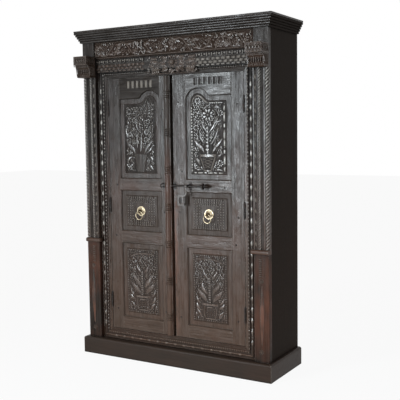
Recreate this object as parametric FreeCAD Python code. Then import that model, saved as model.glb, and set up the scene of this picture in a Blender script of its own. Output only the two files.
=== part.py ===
import FreeCAD, Part
import os
from math import sqrt

# Tall two-door cabinet of carved hardwood, with a deep cornice and a plinth.
# X runs to the right, Y to the back, Z up. The origin is under the middle of the whole cabinet.

# Carcass
CARCASS_WIDTH = 1290.0
CARCASS_DEPTH = 398.0
TOTAL_HEIGHT = 2050.0
SIDE_THICKNESS = 24.0
BACK_THICKNESS = 14.0
BACK_PLANKS = 5
PLANK_CHAMFER = 2.0

# Plinth, with a rebate that carries the base board
PLINTH_HEIGHT = 104.0
PLINTH_SIDE_OVERHANG = 23.5
PLINTH_FRONT_OVERHANG = 30.0
PLINTH_TOP_WIDTH = 36.0
PLINTH_LEDGE_WIDTH = 20.0
PLINTH_EDGE_RADIUS = 12.0
PLINTH_BACK_THICKNESS = 30.0
BASE_BOARD_THICKNESS = 24.0

# Cornice of stepped reeds under the lip of the top board
TOP_LIP_HEIGHT = 10.0
TOP_LIP_OVERHANG = 38.0
TOP_BOARD_DROP = 18.0
REED_COUNT = 5
REED_HEIGHT = 12.8
REED_BULGE = 2.6
REED_LOWEST_OVERHANG = 9.5
REED_HIGHEST_OVERHANG = 35.0

# Frieze and the plain blocks at its ends
FRIEZE_HEIGHT = 106.0
FRIEZE_RECESS = 8.0
FRIEZE_THICKNESS = 40.0
CORNER_BLOCK_WIDTH = 88.0

# Pilasters with dado, neck band and bracket capital
PILASTER_WIDTH = 95.0
PILASTER_THICKNESS = 33.0
DADO_CHAMFER = 3.0
NECK_BAND_HEIGHT = 26.0
NECK_BAND_PROUD = 15.0
NECK_BAND_INNER_PROUD = 18.0
NECK_BAND_INNER_DEPTH = 20.0
NECK_BAND_ROUNDING = 11.0
CAPITAL_RISE = 18.0
CAPITAL_HEIGHT = 128.0
CAPITAL_WIDTH = 100.0
CAPITAL_OVERHANG = 3.0
CAPITAL_PROJECTION = 88.0
CAPITAL_BLOCK_HEIGHT = 54.0
CAPITAL_FILLET_PROJECTION = 69.0
CAPITAL_FILLET_HEIGHT = 14.0
CAPITAL_WAIST_PROJECTION = 45.0
CAPITAL_WAIST_RISE = 32.0
CAPITAL_HOLLOW_DEPTH = 5.0
CAPITAL_HOLLOW_LIFT = 3.0
CAPITAL_ROLL_PROJECTION = 57.0
CAPITAL_ROLL_RADIUS = 8.0

# Door frame: sill, jambs and lintel, all behind the front plane by the depths given here
FRAME_DEPTH = 94.0
SILL_HEIGHT = 67.0
STOP_WIDTH = 14.0
STOP_CLEARANCE = 1.0

# Moulding strips as kind, width, depth behind the front plane and height of the bead
JAMB_STRIPS = [
    ("flat", 10.0, 33.0, 0.0),
    ("flat", 9.0, 30.0, 0.0),
    ("bead", 15.0, 31.0, 6.0),
    ("flat", 6.0, 31.0, 0.0),
    ("bead", 16.0, 31.0, 7.0),
    ("flat", 4.0, 31.0, 0.0),
    ("flat", 11.0, 27.0, 0.0),
]
LINTEL_SHARED_STRIPS = 4
LINTEL_BAND_STRIPS = [
    ("flat", 4.0, 14.0, 0.0),
    ("flat", 44.0, 10.0, 0.0),
    ("flat", 3.0, 6.0, 0.0),
    ("flat", 22.0, 12.0, 0.0),
    ("flat", 6.0, 5.0, 0.0),
]
PILASTER_STRIPS = [
    ("flat", 8.0, 0.0, 0.0),
    ("flat", 18.0, 3.0, 0.0),
    ("flat", 5.0, 0.0, 0.0),
    ("bead", 16.0, 8.0, 8.0),
    ("flat", 4.0, 8.0, 0.0),
    ("flat", 15.0, 3.0, 0.0),
    ("flat", 9.0, 0.0, 0.0),
    ("bead", 20.0, 10.0, 10.0),
]

# Inside: floor, shelves and the cleats under them
BOARD_THICKNESS = 22.0
SHELF_COUNT = 3
SHELF_SETBACK = 10.0
CLEAT_SIZE = 20.0
CLEAT_END_GAP = 10.0

# Doors
DOOR_RECESS = 34.0
DOOR_THICKNESS = 36.0
DOOR_SIDE_GAP = 3.0
DOOR_TOP_GAP = 3.0
DOOR_BOTTOM_GAP = 3.0
MEETING_GAP = 4.0
MEETING_STILE_WIDTH = 91.0
HINGE_STILE_WIDTH = 85.0
TOP_RAIL_WIDTH = 129.0
UPPER_RAIL_WIDTH = 81.0
LOWER_RAIL_WIDTH = 84.0
BOTTOM_RAIL_WIDTH = 81.0
MIDDLE_PANEL_HEIGHT = 248.0
UPPER_PANEL_EXTRA = 17.0
GROOVE_SETBACK = 14.0
GROOVE_THICKNESS = 10.0
GROOVE_DEPTH = 9.0
PANEL_FLOAT = 0.5
PANEL_EDGE_GAP = 0.3
PANEL_RECESS = 9.0
FIELD_BORDER = 27.0
FIELD_BEVEL = 6.0
FIELD_RAISE = 5.0
PAD_SIZE = 104.0
PAD_RAISE = 2.0
EDGE_BEVEL = 6.0

# Head of the upper panel: a hump beside the meeting stile that runs out in an ogee,
# all as shares of the panel's width
HUMP_OFFSET_SHARE = 0.258
HUMP_RISE_SHARE = 0.153
HUMP_RADIUS_SHARE = 0.2625
OGEE_END_SHARE = 0.567

# Row of gouges in the top rail
GOUGE_COUNT = 6
GOUGE_PITCH = 33.0
GOUGE_TOP_MARGIN = 19.0
GOUGE_HEIGHT = 44.0
GOUGE_RADIUS = 12.0
GOUGE_STAND_OFF = 4.0

# Rebate in the front of the left door's meeting edge
MEETING_REBATE_WIDTH = 13.0
MEETING_REBATE_DEPTH = 18.0

# Turned astragal on the left door; the column's axis lies behind the strip's face
ASTRAGAL_WIDTH = 44.0
ASTRAGAL_EDGE_GAP = 14.0
ASTRAGAL_STRIP = 6.0
ASTRAGAL_SINK = 8.0
ASTRAGAL_PLAIN_RADIUS = 19.5
ASTRAGAL_BEAD_RADIUS = 23.0
ASTRAGAL_BEAD_PITCH = 11.0
ASTRAGAL_BEADS = 5
ASTRAGAL_GROUPS = 7

# Butt hinges
HINGE_END_OFFSET = 182.0
HINGE_LENGTH = 90.0
HINGE_KNUCKLE_RADIUS = 5.5
HINGE_PIN_RADIUS = 3.0
HINGE_PIN_CLEARANCE = 0.05
HINGE_END_CLEARANCE = 0.3
HINGE_NOTCH_CLEARANCE = 0.4
HINGE_LEAF_THICKNESS = 2.0
HINGE_LEAF_WIDTH = 28.0
HINGE_AXIS_PROUD = 3.0
HINGE_TIP_RADIUS = 4.0

# Ring pulls; the profile gives the distance in from the rim and the height over the panel
ROSETTE_RADIUS = 31.0
ROSETTE_PROFILE = [
    (0.0, 1.5),
    (2.0, 3.5),
    (6.0, 3.5),
    (8.0, 2.0),
    (14.0, 4.0),
    (19.0, 8.0),
    (23.0, 9.0),
]
POST_FOOT_HEIGHT = 11.0
EYE_STAND_OFF = 24.0
EYE_RADIUS = 8.0
EYE_WIDTH = 8.0
EYE_HOLE_CLEARANCE = 0.7
POST_RADIUS = 5.0
RING_RADIUS = 25.0
RING_WIRE_RADIUS = 3.0

# Sliding bolt, its guides, its keeper and its hasp; the finial's profile gives radius and distance
BOLT_RADIUS = 5.0
BOLT_STAND_OFF = 30.0
BOLT_TIP = 2.0
BOLT_TIP_LENGTH = 12.0
BOLT_TIP_RADIUS = 1.5
BOLT_LENGTH = 253.0
BOLT_COLLAR_RADIUS = 8.5
BOLT_COLLAR_WIDTH = 2.0
FINIAL_START = 205.0
FINIAL_PROFILE = [
    (11.0, 3.0),
    (11.0, 7.0),
    (6.5, 10.0),
    (18.0, 15.0),
    (18.0, 19.0),
    (6.5, 24.0),
    (11.0, 28.0),
    (11.0, 32.0),
]
GUIDE_PLACES = [10.0, 118.0]
GUIDE_CLEARANCE = 0.4
KEEPER_PLACE = -69.0
KEEPER_CLEARANCE = 2.0
STAPLE_WIRE_RADIUS = 2.5
STAPLE_PLATE_THICKNESS = 2.5
STAPLE_PLATE_WIDTH = 16.0
STAPLE_PLATE_HEIGHT = 44.0
HASP_PLACE = 105.0
HASP_EYE_WIDTH = 10.0
HASP_EYE_RADIUS = 9.0
HASP_BORE_CLEARANCE = 0.05
HASP_SIDE_CLEARANCE = 0.3
HASP_THICKNESS = 4.0
HASP_ARM_WIDTH = 9.0
HASP_ARM_GAP = 2.0
HASP_BEND_RADIUS = 26.0
HASP_PLATE_WIDTH = 43.0
HASP_PLATE_HEIGHT = 62.0
HASP_DROP = 117.0
HASP_PLATE_ROUNDING = 7.0
HASP_SLOT_WIDTH = 12.0
HASP_SLOT_HEIGHT = 38.0
HASP_SLOT_OFFSET = 5.0

# How far a cutting tool runs past the wood, and the distance under which two points are one
TOOL_REACH = 1.0
SAME_POINT = 1e-6


def total_width(strips):
    return sum(width for kind, width, depth, height in strips)


# Planes that several pieces share
FRONT = -(CARCASS_DEPTH + CAPITAL_PROJECTION) / 2 + CAPITAL_PROJECTION
BACK = FRONT + CARCASS_DEPTH
SIDE = CARCASS_WIDTH / 2
SIDE_INNER = SIDE - SIDE_THICKNESS
FRAME_BACK = FRONT + FRAME_DEPTH
PILASTER_BACK = FRONT + PILASTER_THICKNESS
PILASTER_INNER = SIDE - PILASTER_WIDTH
BACK_INNER = BACK - BACK_THICKNESS
CORNICE_TOP = TOTAL_HEIGHT - TOP_LIP_HEIGHT
CORNICE_BOTTOM = CORNICE_TOP - REED_COUNT * REED_HEIGHT
BACK_TOP = CORNICE_TOP - TOP_BOARD_DROP
LINTEL_TOP = CORNICE_BOTTOM - FRIEZE_HEIGHT
LINTEL_BAND_BOTTOM = LINTEL_TOP - total_width(LINTEL_BAND_STRIPS)
CAPITAL_BOTTOM = LINTEL_TOP + CAPITAL_RISE - CAPITAL_HEIGHT
OPENING_TOP = LINTEL_BAND_BOTTOM - total_width(JAMB_STRIPS[:LINTEL_SHARED_STRIPS])
OPENING_BOTTOM = PLINTH_HEIGHT + SILL_HEIGHT
OPENING_HALF_WIDTH = PILASTER_INNER - total_width(JAMB_STRIPS)
SHELF_SPACING = (OPENING_TOP - OPENING_BOTTOM) / (SHELF_COUNT + 1)
DOOR_FACE = FRONT + DOOR_RECESS
DOOR_BACK = DOOR_FACE + DOOR_THICKNESS
STOP_FACE = DOOR_BACK + STOP_CLEARANCE
DOOR_BOTTOM = OPENING_BOTTOM + DOOR_BOTTOM_GAP
DOOR_TOP = OPENING_TOP - DOOR_TOP_GAP
RAIL_WIDTHS = TOP_RAIL_WIDTH + UPPER_RAIL_WIDTH + LOWER_RAIL_WIDTH + BOTTOM_RAIL_WIDTH
TALL_PANELS_HEIGHT = DOOR_TOP - DOOR_BOTTOM - RAIL_WIDTHS - MIDDLE_PANEL_HEIGHT
BOTTOM_RAIL_TOP = DOOR_BOTTOM + BOTTOM_RAIL_WIDTH
LOWER_RAIL_BOTTOM = BOTTOM_RAIL_TOP + (TALL_PANELS_HEIGHT - UPPER_PANEL_EXTRA) / 2
LOWER_RAIL_TOP = LOWER_RAIL_BOTTOM + LOWER_RAIL_WIDTH
UPPER_RAIL_BOTTOM = LOWER_RAIL_TOP + MIDDLE_PANEL_HEIGHT
UPPER_RAIL_TOP = UPPER_RAIL_BOTTOM + UPPER_RAIL_WIDTH
TOP_RAIL_BOTTOM = DOOR_TOP - TOP_RAIL_WIDTH
DADO_TOP = LOWER_RAIL_BOTTOM
NECK_BAND_TOP = DADO_TOP + NECK_BAND_HEIGHT
DOOR_MEETING_EDGE = MEETING_GAP / 2
DOOR_HINGE_EDGE = OPENING_HALF_WIDTH - DOOR_SIDE_GAP
STILE_INNER_EDGE = DOOR_MEETING_EDGE + MEETING_STILE_WIDTH
HINGE_STILE_INNER_EDGE = DOOR_HINGE_EDGE - HINGE_STILE_WIDTH
PANEL_CENTRE = (STILE_INNER_EDGE + HINGE_STILE_INNER_EDGE) / 2
PANEL_WIDTH = HINGE_STILE_INNER_EDGE - STILE_INNER_EDGE
HUMP_OFFSET = HUMP_OFFSET_SHARE * PANEL_WIDTH
HUMP_RADIUS = HUMP_RADIUS_SHARE * PANEL_WIDTH
HUMP_CENTRE_Z = TOP_RAIL_BOTTOM + HUMP_RISE_SHARE * PANEL_WIDTH - HUMP_RADIUS
OGEE_END_OFFSET = OGEE_END_SHARE * PANEL_WIDTH
GROOVE_FRONT = DOOR_FACE + GROOVE_SETBACK
GROOVE_BACK = GROOVE_FRONT + GROOVE_THICKNESS
PANEL_FACE = DOOR_FACE + PANEL_RECESS
FIELD_FACE = PANEL_FACE - FIELD_RAISE
PAD_FACE = FIELD_FACE - PAD_RAISE
HINGE_AXIS_X = DOOR_HINGE_EDGE + DOOR_SIDE_GAP / 2
HINGE_AXIS_Y = DOOR_FACE - HINGE_AXIS_PROUD
LEAF_FRONT = HINGE_AXIS_Y + HINGE_KNUCKLE_RADIUS + HINGE_NOTCH_CLEARANCE
HINGE_HEIGHTS = [
    DOOR_BOTTOM + HINGE_END_OFFSET,
    (DOOR_BOTTOM + DOOR_TOP) / 2,
    DOOR_TOP - HINGE_END_OFFSET,
]
PULL_HEIGHT = (LOWER_RAIL_TOP + UPPER_RAIL_BOTTOM) / 2
EYE_Y = PAD_FACE - EYE_STAND_OFF
BOLT_HEIGHT = (UPPER_RAIL_BOTTOM + UPPER_RAIL_TOP) / 2
BOLT_AXIS_Y = DOOR_FACE - BOLT_STAND_OFF


def vec(x, y, z):
    return FreeCAD.Vector(x, y, z)


def box(x0, x1, y0, y1, z0, z1):
    return Part.makeBox(x1 - x0, y1 - y0, z1 - z0, vec(x0, y0, z0))


def mirrored(shape):
    return shape.mirror(vec(0, 0, 0), vec(1, 0, 0))


def join(shapes):
    joined = shapes[0]
    for shape in shapes[1:]:
        joined = joined.fuse(shape)
    return joined.removeSplitter()


def closed_face(edges):
    return Part.Face(Part.Wire(Part.__sortEdges__(edges)))


def polygon_face(points):
    return Part.Face(Part.makePolygon(points + [points[0]]))


def line(start, end):
    return Part.LineSegment(start, end).toShape()


def arc(start, middle, end):
    return Part.Arc(start, middle, end).toShape()


def moulded_face(strips, back_depth, place):
    """Section of a moulded board; place turns a distance across and a depth into a point."""
    edges = []
    across = 0.0
    last = place(0.0, back_depth)
    for kind, width, depth, height in strips:
        start = place(across, depth)
        end = place(across + width, depth)
        if (start - last).Length > SAME_POINT:
            edges.append(line(last, start))
        if kind == "bead":
            edges.append(arc(start, place(across + width / 2, depth - height), end))
        else:
            edges.append(line(start, end))
        last = end
        across += width
    corner = place(across, back_depth)
    edges.append(line(last, corner))
    edges.append(line(corner, place(0.0, back_depth)))
    return closed_face(edges)


def turned(points, base, direction, across):
    """Solid of revolution from radius and distance pairs along an axis."""
    outline = [base + direction * distance + across * radius for radius, distance in points]
    return polygon_face(outline).revolve(base, direction, 360)


def rectangle_outline(x0, x1, z0, z1, grow, y):
    return Part.makePolygon([
        vec(x0 - grow, y, z0 - grow),
        vec(x1 + grow, y, z0 - grow),
        vec(x1 + grow, y, z1 + grow),
        vec(x0 - grow, y, z1 + grow),
        vec(x0 - grow, y, z0 - grow),
    ])


def ogee_outline(x0, x1, z0, z1, grow, y):
    """Panel opening whose head has a hump beside x0 that runs into an ogee, grown by a margin."""
    centre_x = x0 + HUMP_OFFSET
    centre_z = HUMP_CENTRE_Z
    end_x = x0 + OGEE_END_OFFSET
    run = end_x - centre_x
    rise = z1 - centre_z
    hollow = (run ** 2 + rise ** 2 - HUMP_RADIUS ** 2) / (2 * (HUMP_RADIUS - rise))
    reach = HUMP_RADIUS + hollow
    along_x = run / reach
    along_z = (rise + hollow) / reach
    hump = HUMP_RADIUS + grow
    left = x0 - grow
    left_z = centre_z + sqrt(hump ** 2 - (left - centre_x) ** 2)
    bottom_left = vec(left, y, z0 - grow)
    bottom_right = vec(x1 + grow, y, z0 - grow)
    top_right = vec(x1 + grow, y, z1 + grow)
    ogee_end = vec(end_x, y, z1 + grow)
    join_point = vec(centre_x + hump * along_x, y, centre_z + hump * along_z)
    hump_start = vec(left, y, left_z)
    inner = hollow - grow
    half_x = end_x - join_point.x
    half_z = z1 + hollow - join_point.z
    turn_x = -half_x / inner
    turn_z = -half_z / inner - 1.0
    size = sqrt(turn_x ** 2 + turn_z ** 2)
    hollow_middle = vec(end_x + inner * turn_x / size, y, z1 + hollow + inner * turn_z / size)
    edges = [
        line(bottom_left, bottom_right),
        line(bottom_right, top_right),
        line(top_right, ogee_end),
        arc(ogee_end, hollow_middle, join_point),
        arc(join_point, vec(centre_x, y, centre_z + hump), hump_start),
        line(hump_start, bottom_left),
    ]
    return Part.Wire(edges)


# Openings of the right door, as the outline's maker and its sides
PANEL_OPENINGS = {
    "upper": (ogee_outline, UPPER_RAIL_TOP, TOP_RAIL_BOTTOM),
    "middle": (rectangle_outline, LOWER_RAIL_TOP, UPPER_RAIL_BOTTOM),
    "lower": (rectangle_outline, BOTTOM_RAIL_TOP, LOWER_RAIL_BOTTOM),
}


def outline(name, grow, y):
    maker, bottom, top = PANEL_OPENINGS[name]
    return maker(STILE_INNER_EDGE, HINGE_STILE_INNER_EDGE, bottom, top, grow, y)


def slab(name, grow, y0, y1):
    return Part.Face(outline(name, grow, y0)).extrude(vec(0, y1 - y0, 0))


def tapered_slab(name, grow0, y0, grow1, y1):
    return Part.makeLoft([outline(name, grow0, y0), outline(name, grow1, y1)], True, True)


def plinth_section(place):
    """Plinth board with a rounded top edge outside and a ledge inside for the base board."""
    full = PLINTH_TOP_WIDTH + PLINTH_LEDGE_WIDTH
    ledge = PLINTH_HEIGHT - BASE_BOARD_THICKNESS
    radius = PLINTH_EDGE_RADIUS
    bend = radius * (1 - sqrt(0.5))
    edges = [
        line(place(0, 0), place(0, PLINTH_HEIGHT - radius)),
        arc(
            place(0, PLINTH_HEIGHT - radius),
            place(bend, PLINTH_HEIGHT - bend),
            place(radius, PLINTH_HEIGHT),
        ),
        line(place(radius, PLINTH_HEIGHT), place(PLINTH_TOP_WIDTH, PLINTH_HEIGHT)),
        line(place(PLINTH_TOP_WIDTH, PLINTH_HEIGHT), place(PLINTH_TOP_WIDTH, ledge)),
        line(place(PLINTH_TOP_WIDTH, ledge), place(full, ledge)),
        line(place(full, ledge), place(full, 0)),
        line(place(full, 0), place(0, 0)),
    ]
    return closed_face(edges)


def mitre_wedge(corner_x, corner_y, z0, z1):
    """Half of the plan in front of the 45 degree line through the front right corner."""
    reach = 3 * corner_x
    points = [
        vec(corner_x, corner_y, z0),
        vec(corner_x - reach, corner_y + reach, z0),
        vec(corner_x - reach, corner_y - reach, z0),
        vec(corner_x + reach, corner_y - reach, z0),
    ]
    return polygon_face(points).extrude(vec(0, 0, z1 - z0))


def plinth():
    side = SIDE + PLINTH_SIDE_OVERHANG
    front = FRONT - PLINTH_FRONT_OVERHANG
    wedge = mitre_wedge(side, front, 0, PLINTH_HEIGHT)
    section = plinth_section(lambda inward, up: vec(-side, front + inward, up))
    front_board = section.extrude(vec(2 * side, 0, 0))
    front_board = front_board.common(wedge).common(mirrored(wedge))
    section = plinth_section(lambda inward, up: vec(side - inward, front, up))
    right_board = section.extrude(vec(0, BACK - front, 0)).cut(wedge)
    inner = side - PLINTH_TOP_WIDTH - PLINTH_LEDGE_WIDTH
    ledge = PLINTH_HEIGHT - BASE_BOARD_THICKNESS
    back_board = box(-inner, inner, BACK - PLINTH_BACK_THICKNESS, BACK, 0, ledge)
    return front_board, right_board, back_board


def base_board():
    half = SIDE + PLINTH_SIDE_OVERHANG - PLINTH_TOP_WIDTH
    front = FRONT - PLINTH_FRONT_OVERHANG + PLINTH_TOP_WIDTH
    return box(-half, half, front, BACK, PLINTH_HEIGHT - BASE_BOARD_THICKNESS, PLINTH_HEIGHT)


def side_panel():
    return box(SIDE_INNER, SIDE, PILASTER_BACK, BACK, PLINTH_HEIGHT, CORNICE_BOTTOM)


def back_boards():
    """Vertical planks whose chamfered edges meet in V joints."""
    width = 2 * SIDE_INNER / BACK_PLANKS
    planks = []
    for number in range(BACK_PLANKS):
        left = -SIDE_INNER + number * width
        right = left + width
        points = [
            vec(left + PLANK_CHAMFER, BACK_INNER, PLINTH_HEIGHT),
            vec(right - PLANK_CHAMFER, BACK_INNER, PLINTH_HEIGHT),
            vec(right, BACK_INNER + PLANK_CHAMFER, PLINTH_HEIGHT),
            vec(right, BACK - PLANK_CHAMFER, PLINTH_HEIGHT),
            vec(right - PLANK_CHAMFER, BACK, PLINTH_HEIGHT),
            vec(left + PLANK_CHAMFER, BACK, PLINTH_HEIGHT),
            vec(left, BACK - PLANK_CHAMFER, PLINTH_HEIGHT),
            vec(left, BACK_INNER + PLANK_CHAMFER, PLINTH_HEIGHT),
        ]
        planks.append(polygon_face(points).extrude(vec(0, 0, BACK_TOP - PLINTH_HEIGHT)))
    return Part.makeCompound(planks)


def top_board():
    """Board let in between the cornice pieces, with a thin lip that covers them."""
    lip_side = SIDE + TOP_LIP_OVERHANG
    lip = box(-lip_side, lip_side, FRONT - TOP_LIP_OVERHANG, BACK, CORNICE_TOP, TOTAL_HEIGHT)
    core = box(-SIDE_INNER, SIDE_INNER, FRONT + SIDE_THICKNESS, BACK, BACK_TOP, CORNICE_TOP)
    return join([lip, core])


def cornice_section(place):
    """Stack of rounded reeds that step outwards; place takes the overhang and the height."""
    step = (REED_HIGHEST_OVERHANG - REED_LOWEST_OVERHANG) / (REED_COUNT - 1)
    edges = []
    last = place(-SIDE_THICKNESS, CORNICE_BOTTOM)
    for number in range(REED_COUNT):
        overhang = REED_LOWEST_OVERHANG + number * step
        low = CORNICE_BOTTOM + number * REED_HEIGHT
        start = place(overhang, low)
        end = place(overhang, low + REED_HEIGHT)
        edges.append(line(last, start))
        edges.append(arc(start, place(overhang + REED_BULGE, low + REED_HEIGHT / 2), end))
        last = end
    inner_top = place(-SIDE_THICKNESS, CORNICE_TOP)
    edges.append(line(last, inner_top))
    edges.append(line(inner_top, place(-SIDE_THICKNESS, CORNICE_BOTTOM)))
    return closed_face(edges)


def cornice():
    reach = TOP_LIP_OVERHANG
    wedge = mitre_wedge(SIDE + reach, FRONT - reach, CORNICE_BOTTOM, CORNICE_TOP)
    section = cornice_section(lambda out, up: vec(-SIDE - reach, FRONT - out, up))
    front_piece = section.extrude(vec(2 * (SIDE + reach), 0, 0))
    front_piece = front_piece.common(wedge).common(mirrored(wedge))
    section = cornice_section(lambda out, up: vec(SIDE + out, FRONT - reach, up))
    right_piece = section.extrude(vec(0, BACK - FRONT + reach, 0)).cut(wedge)
    return front_piece, right_piece


def frieze_board():
    half = SIDE - CORNER_BLOCK_WIDTH
    front = FRONT + FRIEZE_RECESS
    return box(-half, half, front, front + FRIEZE_THICKNESS, LINTEL_TOP, LINTEL_TOP + FRIEZE_HEIGHT)


def corner_block():
    inner = SIDE - CORNER_BLOCK_WIDTH
    return box(inner, SIDE, FRONT, PILASTER_BACK, LINTEL_TOP, LINTEL_TOP + FRIEZE_HEIGHT)


def sill_wedge():
    """Front view shape of the sill, with both ends mitred under the jambs."""
    rise = OPENING_BOTTOM - PLINTH_HEIGHT
    points = [
        vec(-OPENING_HALF_WIDTH, FRONT, OPENING_BOTTOM),
        vec(OPENING_HALF_WIDTH, FRONT, OPENING_BOTTOM),
        vec(OPENING_HALF_WIDTH + rise, FRONT, PLINTH_HEIGHT),
        vec(-OPENING_HALF_WIDTH - rise, FRONT, PLINTH_HEIGHT),
    ]
    return polygon_face(points).extrude(vec(0, FRAME_DEPTH, 0))


def lintel_wedge():
    """Front view shape of the mouldings under the lintel band, mitred onto the jambs."""
    rise = LINTEL_BAND_BOTTOM - OPENING_TOP
    points = [
        vec(-OPENING_HALF_WIDTH, FRONT, OPENING_TOP),
        vec(OPENING_HALF_WIDTH, FRONT, OPENING_TOP),
        vec(OPENING_HALF_WIDTH + rise, FRONT, LINTEL_BAND_BOTTOM),
        vec(-OPENING_HALF_WIDTH - rise, FRONT, LINTEL_BAND_BOTTOM),
    ]
    return polygon_face(points).extrude(vec(0, FRAME_DEPTH, 0))


def sill():
    start = -SIDE
    section = moulded_face(
        JAMB_STRIPS,
        FRAME_DEPTH,
        lambda across, depth: vec(start, FRONT + depth, OPENING_BOTTOM - across),
    )
    return section.extrude(vec(CARCASS_WIDTH, 0, 0)).common(sill_wedge())


def lintel():
    """Band between the pilasters, the shared mouldings below it and the stop for the doors."""
    start = -SIDE
    shared = moulded_face(
        JAMB_STRIPS[:LINTEL_SHARED_STRIPS],
        FRAME_DEPTH,
        lambda across, depth: vec(start, FRONT + depth, OPENING_TOP + across),
    )
    lower = shared.extrude(vec(CARCASS_WIDTH, 0, 0)).common(lintel_wedge())
    band = moulded_face(
        LINTEL_BAND_STRIPS,
        FRAME_DEPTH,
        lambda across, depth: vec(-PILASTER_INNER, FRONT + depth, LINTEL_BAND_BOTTOM + across),
    )
    band = band.extrude(vec(2 * PILASTER_INNER, 0, 0))
    core = box(-SIDE_INNER, SIDE_INNER, PILASTER_BACK, FRAME_BACK, LINTEL_BAND_BOTTOM, LINTEL_TOP)
    half = OPENING_HALF_WIDTH
    stop = box(-half, half, STOP_FACE, FRAME_BACK, OPENING_TOP - STOP_WIDTH, OPENING_TOP)
    return join([lower, band, core, stop])


def hinge_notches():
    """Room round the knuckles in the edges of door and jamb."""
    notches = []
    length = HINGE_LENGTH + 2 * HINGE_TIP_RADIUS + 2 * HINGE_NOTCH_CLEARANCE
    for height in HINGE_HEIGHTS:
        base = vec(HINGE_AXIS_X, HINGE_AXIS_Y, height - length / 2)
        radius = HINGE_KNUCKLE_RADIUS + HINGE_NOTCH_CLEARANCE
        notches.append(Part.makeCylinder(radius, length, base, vec(0, 0, 1)))
    return Part.makeCompound(notches)


def leaf_plates(edge_x, inward, front):
    """Leaf plates let into an edge at edge_x; inward is the side on which the wood lies."""
    back = DOOR_FACE + HINGE_LEAF_WIDTH
    other = edge_x + inward * HINGE_LEAF_THICKNESS
    plates = []
    for height in HINGE_HEIGHTS:
        low = height - HINGE_LENGTH / 2
        plates.append(box(min(edge_x, other), max(edge_x, other), front, back, low, low + HINGE_LENGTH))
    return plates


def jamb():
    """Post with the moulded strips in view and a plain face behind the pilaster."""
    covered = ("flat", SIDE_INNER - PILASTER_INNER, PILASTER_THICKNESS, 0.0)
    section = moulded_face(
        JAMB_STRIPS + [covered],
        FRAME_DEPTH,
        lambda across, depth: vec(OPENING_HALF_WIDTH + across, FRONT + depth, PLINTH_HEIGHT),
    )
    post = section.extrude(vec(0, 0, LINTEL_BAND_BOTTOM - PLINTH_HEIGHT))
    post = post.cut(sill_wedge()).cut(lintel_wedge())
    stop = box(
        OPENING_HALF_WIDTH - STOP_WIDTH,
        OPENING_HALF_WIDTH,
        STOP_FACE,
        FRAME_BACK,
        OPENING_BOTTOM,
        OPENING_TOP - STOP_WIDTH,
    )
    post = join([post, stop]).cut(hinge_notches())
    return cut_all(post, leaf_plates(OPENING_HALF_WIDTH, 1, HINGE_AXIS_Y))


def pilaster():
    section = moulded_face(
        PILASTER_STRIPS,
        PILASTER_THICKNESS,
        lambda across, depth: vec(PILASTER_INNER + across, FRONT + depth, NECK_BAND_TOP),
    )
    return section.extrude(vec(0, 0, LINTEL_TOP - NECK_BAND_TOP))


def dado():
    block = box(PILASTER_INNER, SIDE, FRONT, PILASTER_BACK, PLINTH_HEIGHT, DADO_TOP)
    front_edges = []
    for edge in block.Edges:
        upright = abs(edge.Length - (DADO_TOP - PLINTH_HEIGHT)) < SAME_POINT
        if upright and abs(edge.CenterOfMass.y - FRONT) < SAME_POINT:
            front_edges.append(edge)
    return block.makeChamfer(DADO_CHAMFER, front_edges)


def neck_band():
    """Rounded collar between dado and shaft; it stands out in front and on the inner side."""
    inner = PILASTER_INNER - NECK_BAND_INNER_PROUD
    front = FRONT - NECK_BAND_PROUD
    collar = box(inner, SIDE, front, FRONT + NECK_BAND_INNER_DEPTH, DADO_TOP, NECK_BAND_TOP)
    nose = []
    for edge in collar.Edges:
        centre = edge.CenterOfMass
        upright = abs(edge.Length - NECK_BAND_HEIGHT) < SAME_POINT
        on_front = abs(centre.y - front) < SAME_POINT and abs(centre.x - SIDE) > SAME_POINT
        on_inner = abs(centre.x - inner) < SAME_POINT and not upright
        if on_front or on_inner:
            nose.append(edge)
    collar = collar.makeFillet(NECK_BAND_ROUNDING, nose)
    core = box(PILASTER_INNER, SIDE, FRONT, PILASTER_BACK, DADO_TOP, NECK_BAND_TOP)
    return join([collar, core])


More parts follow.
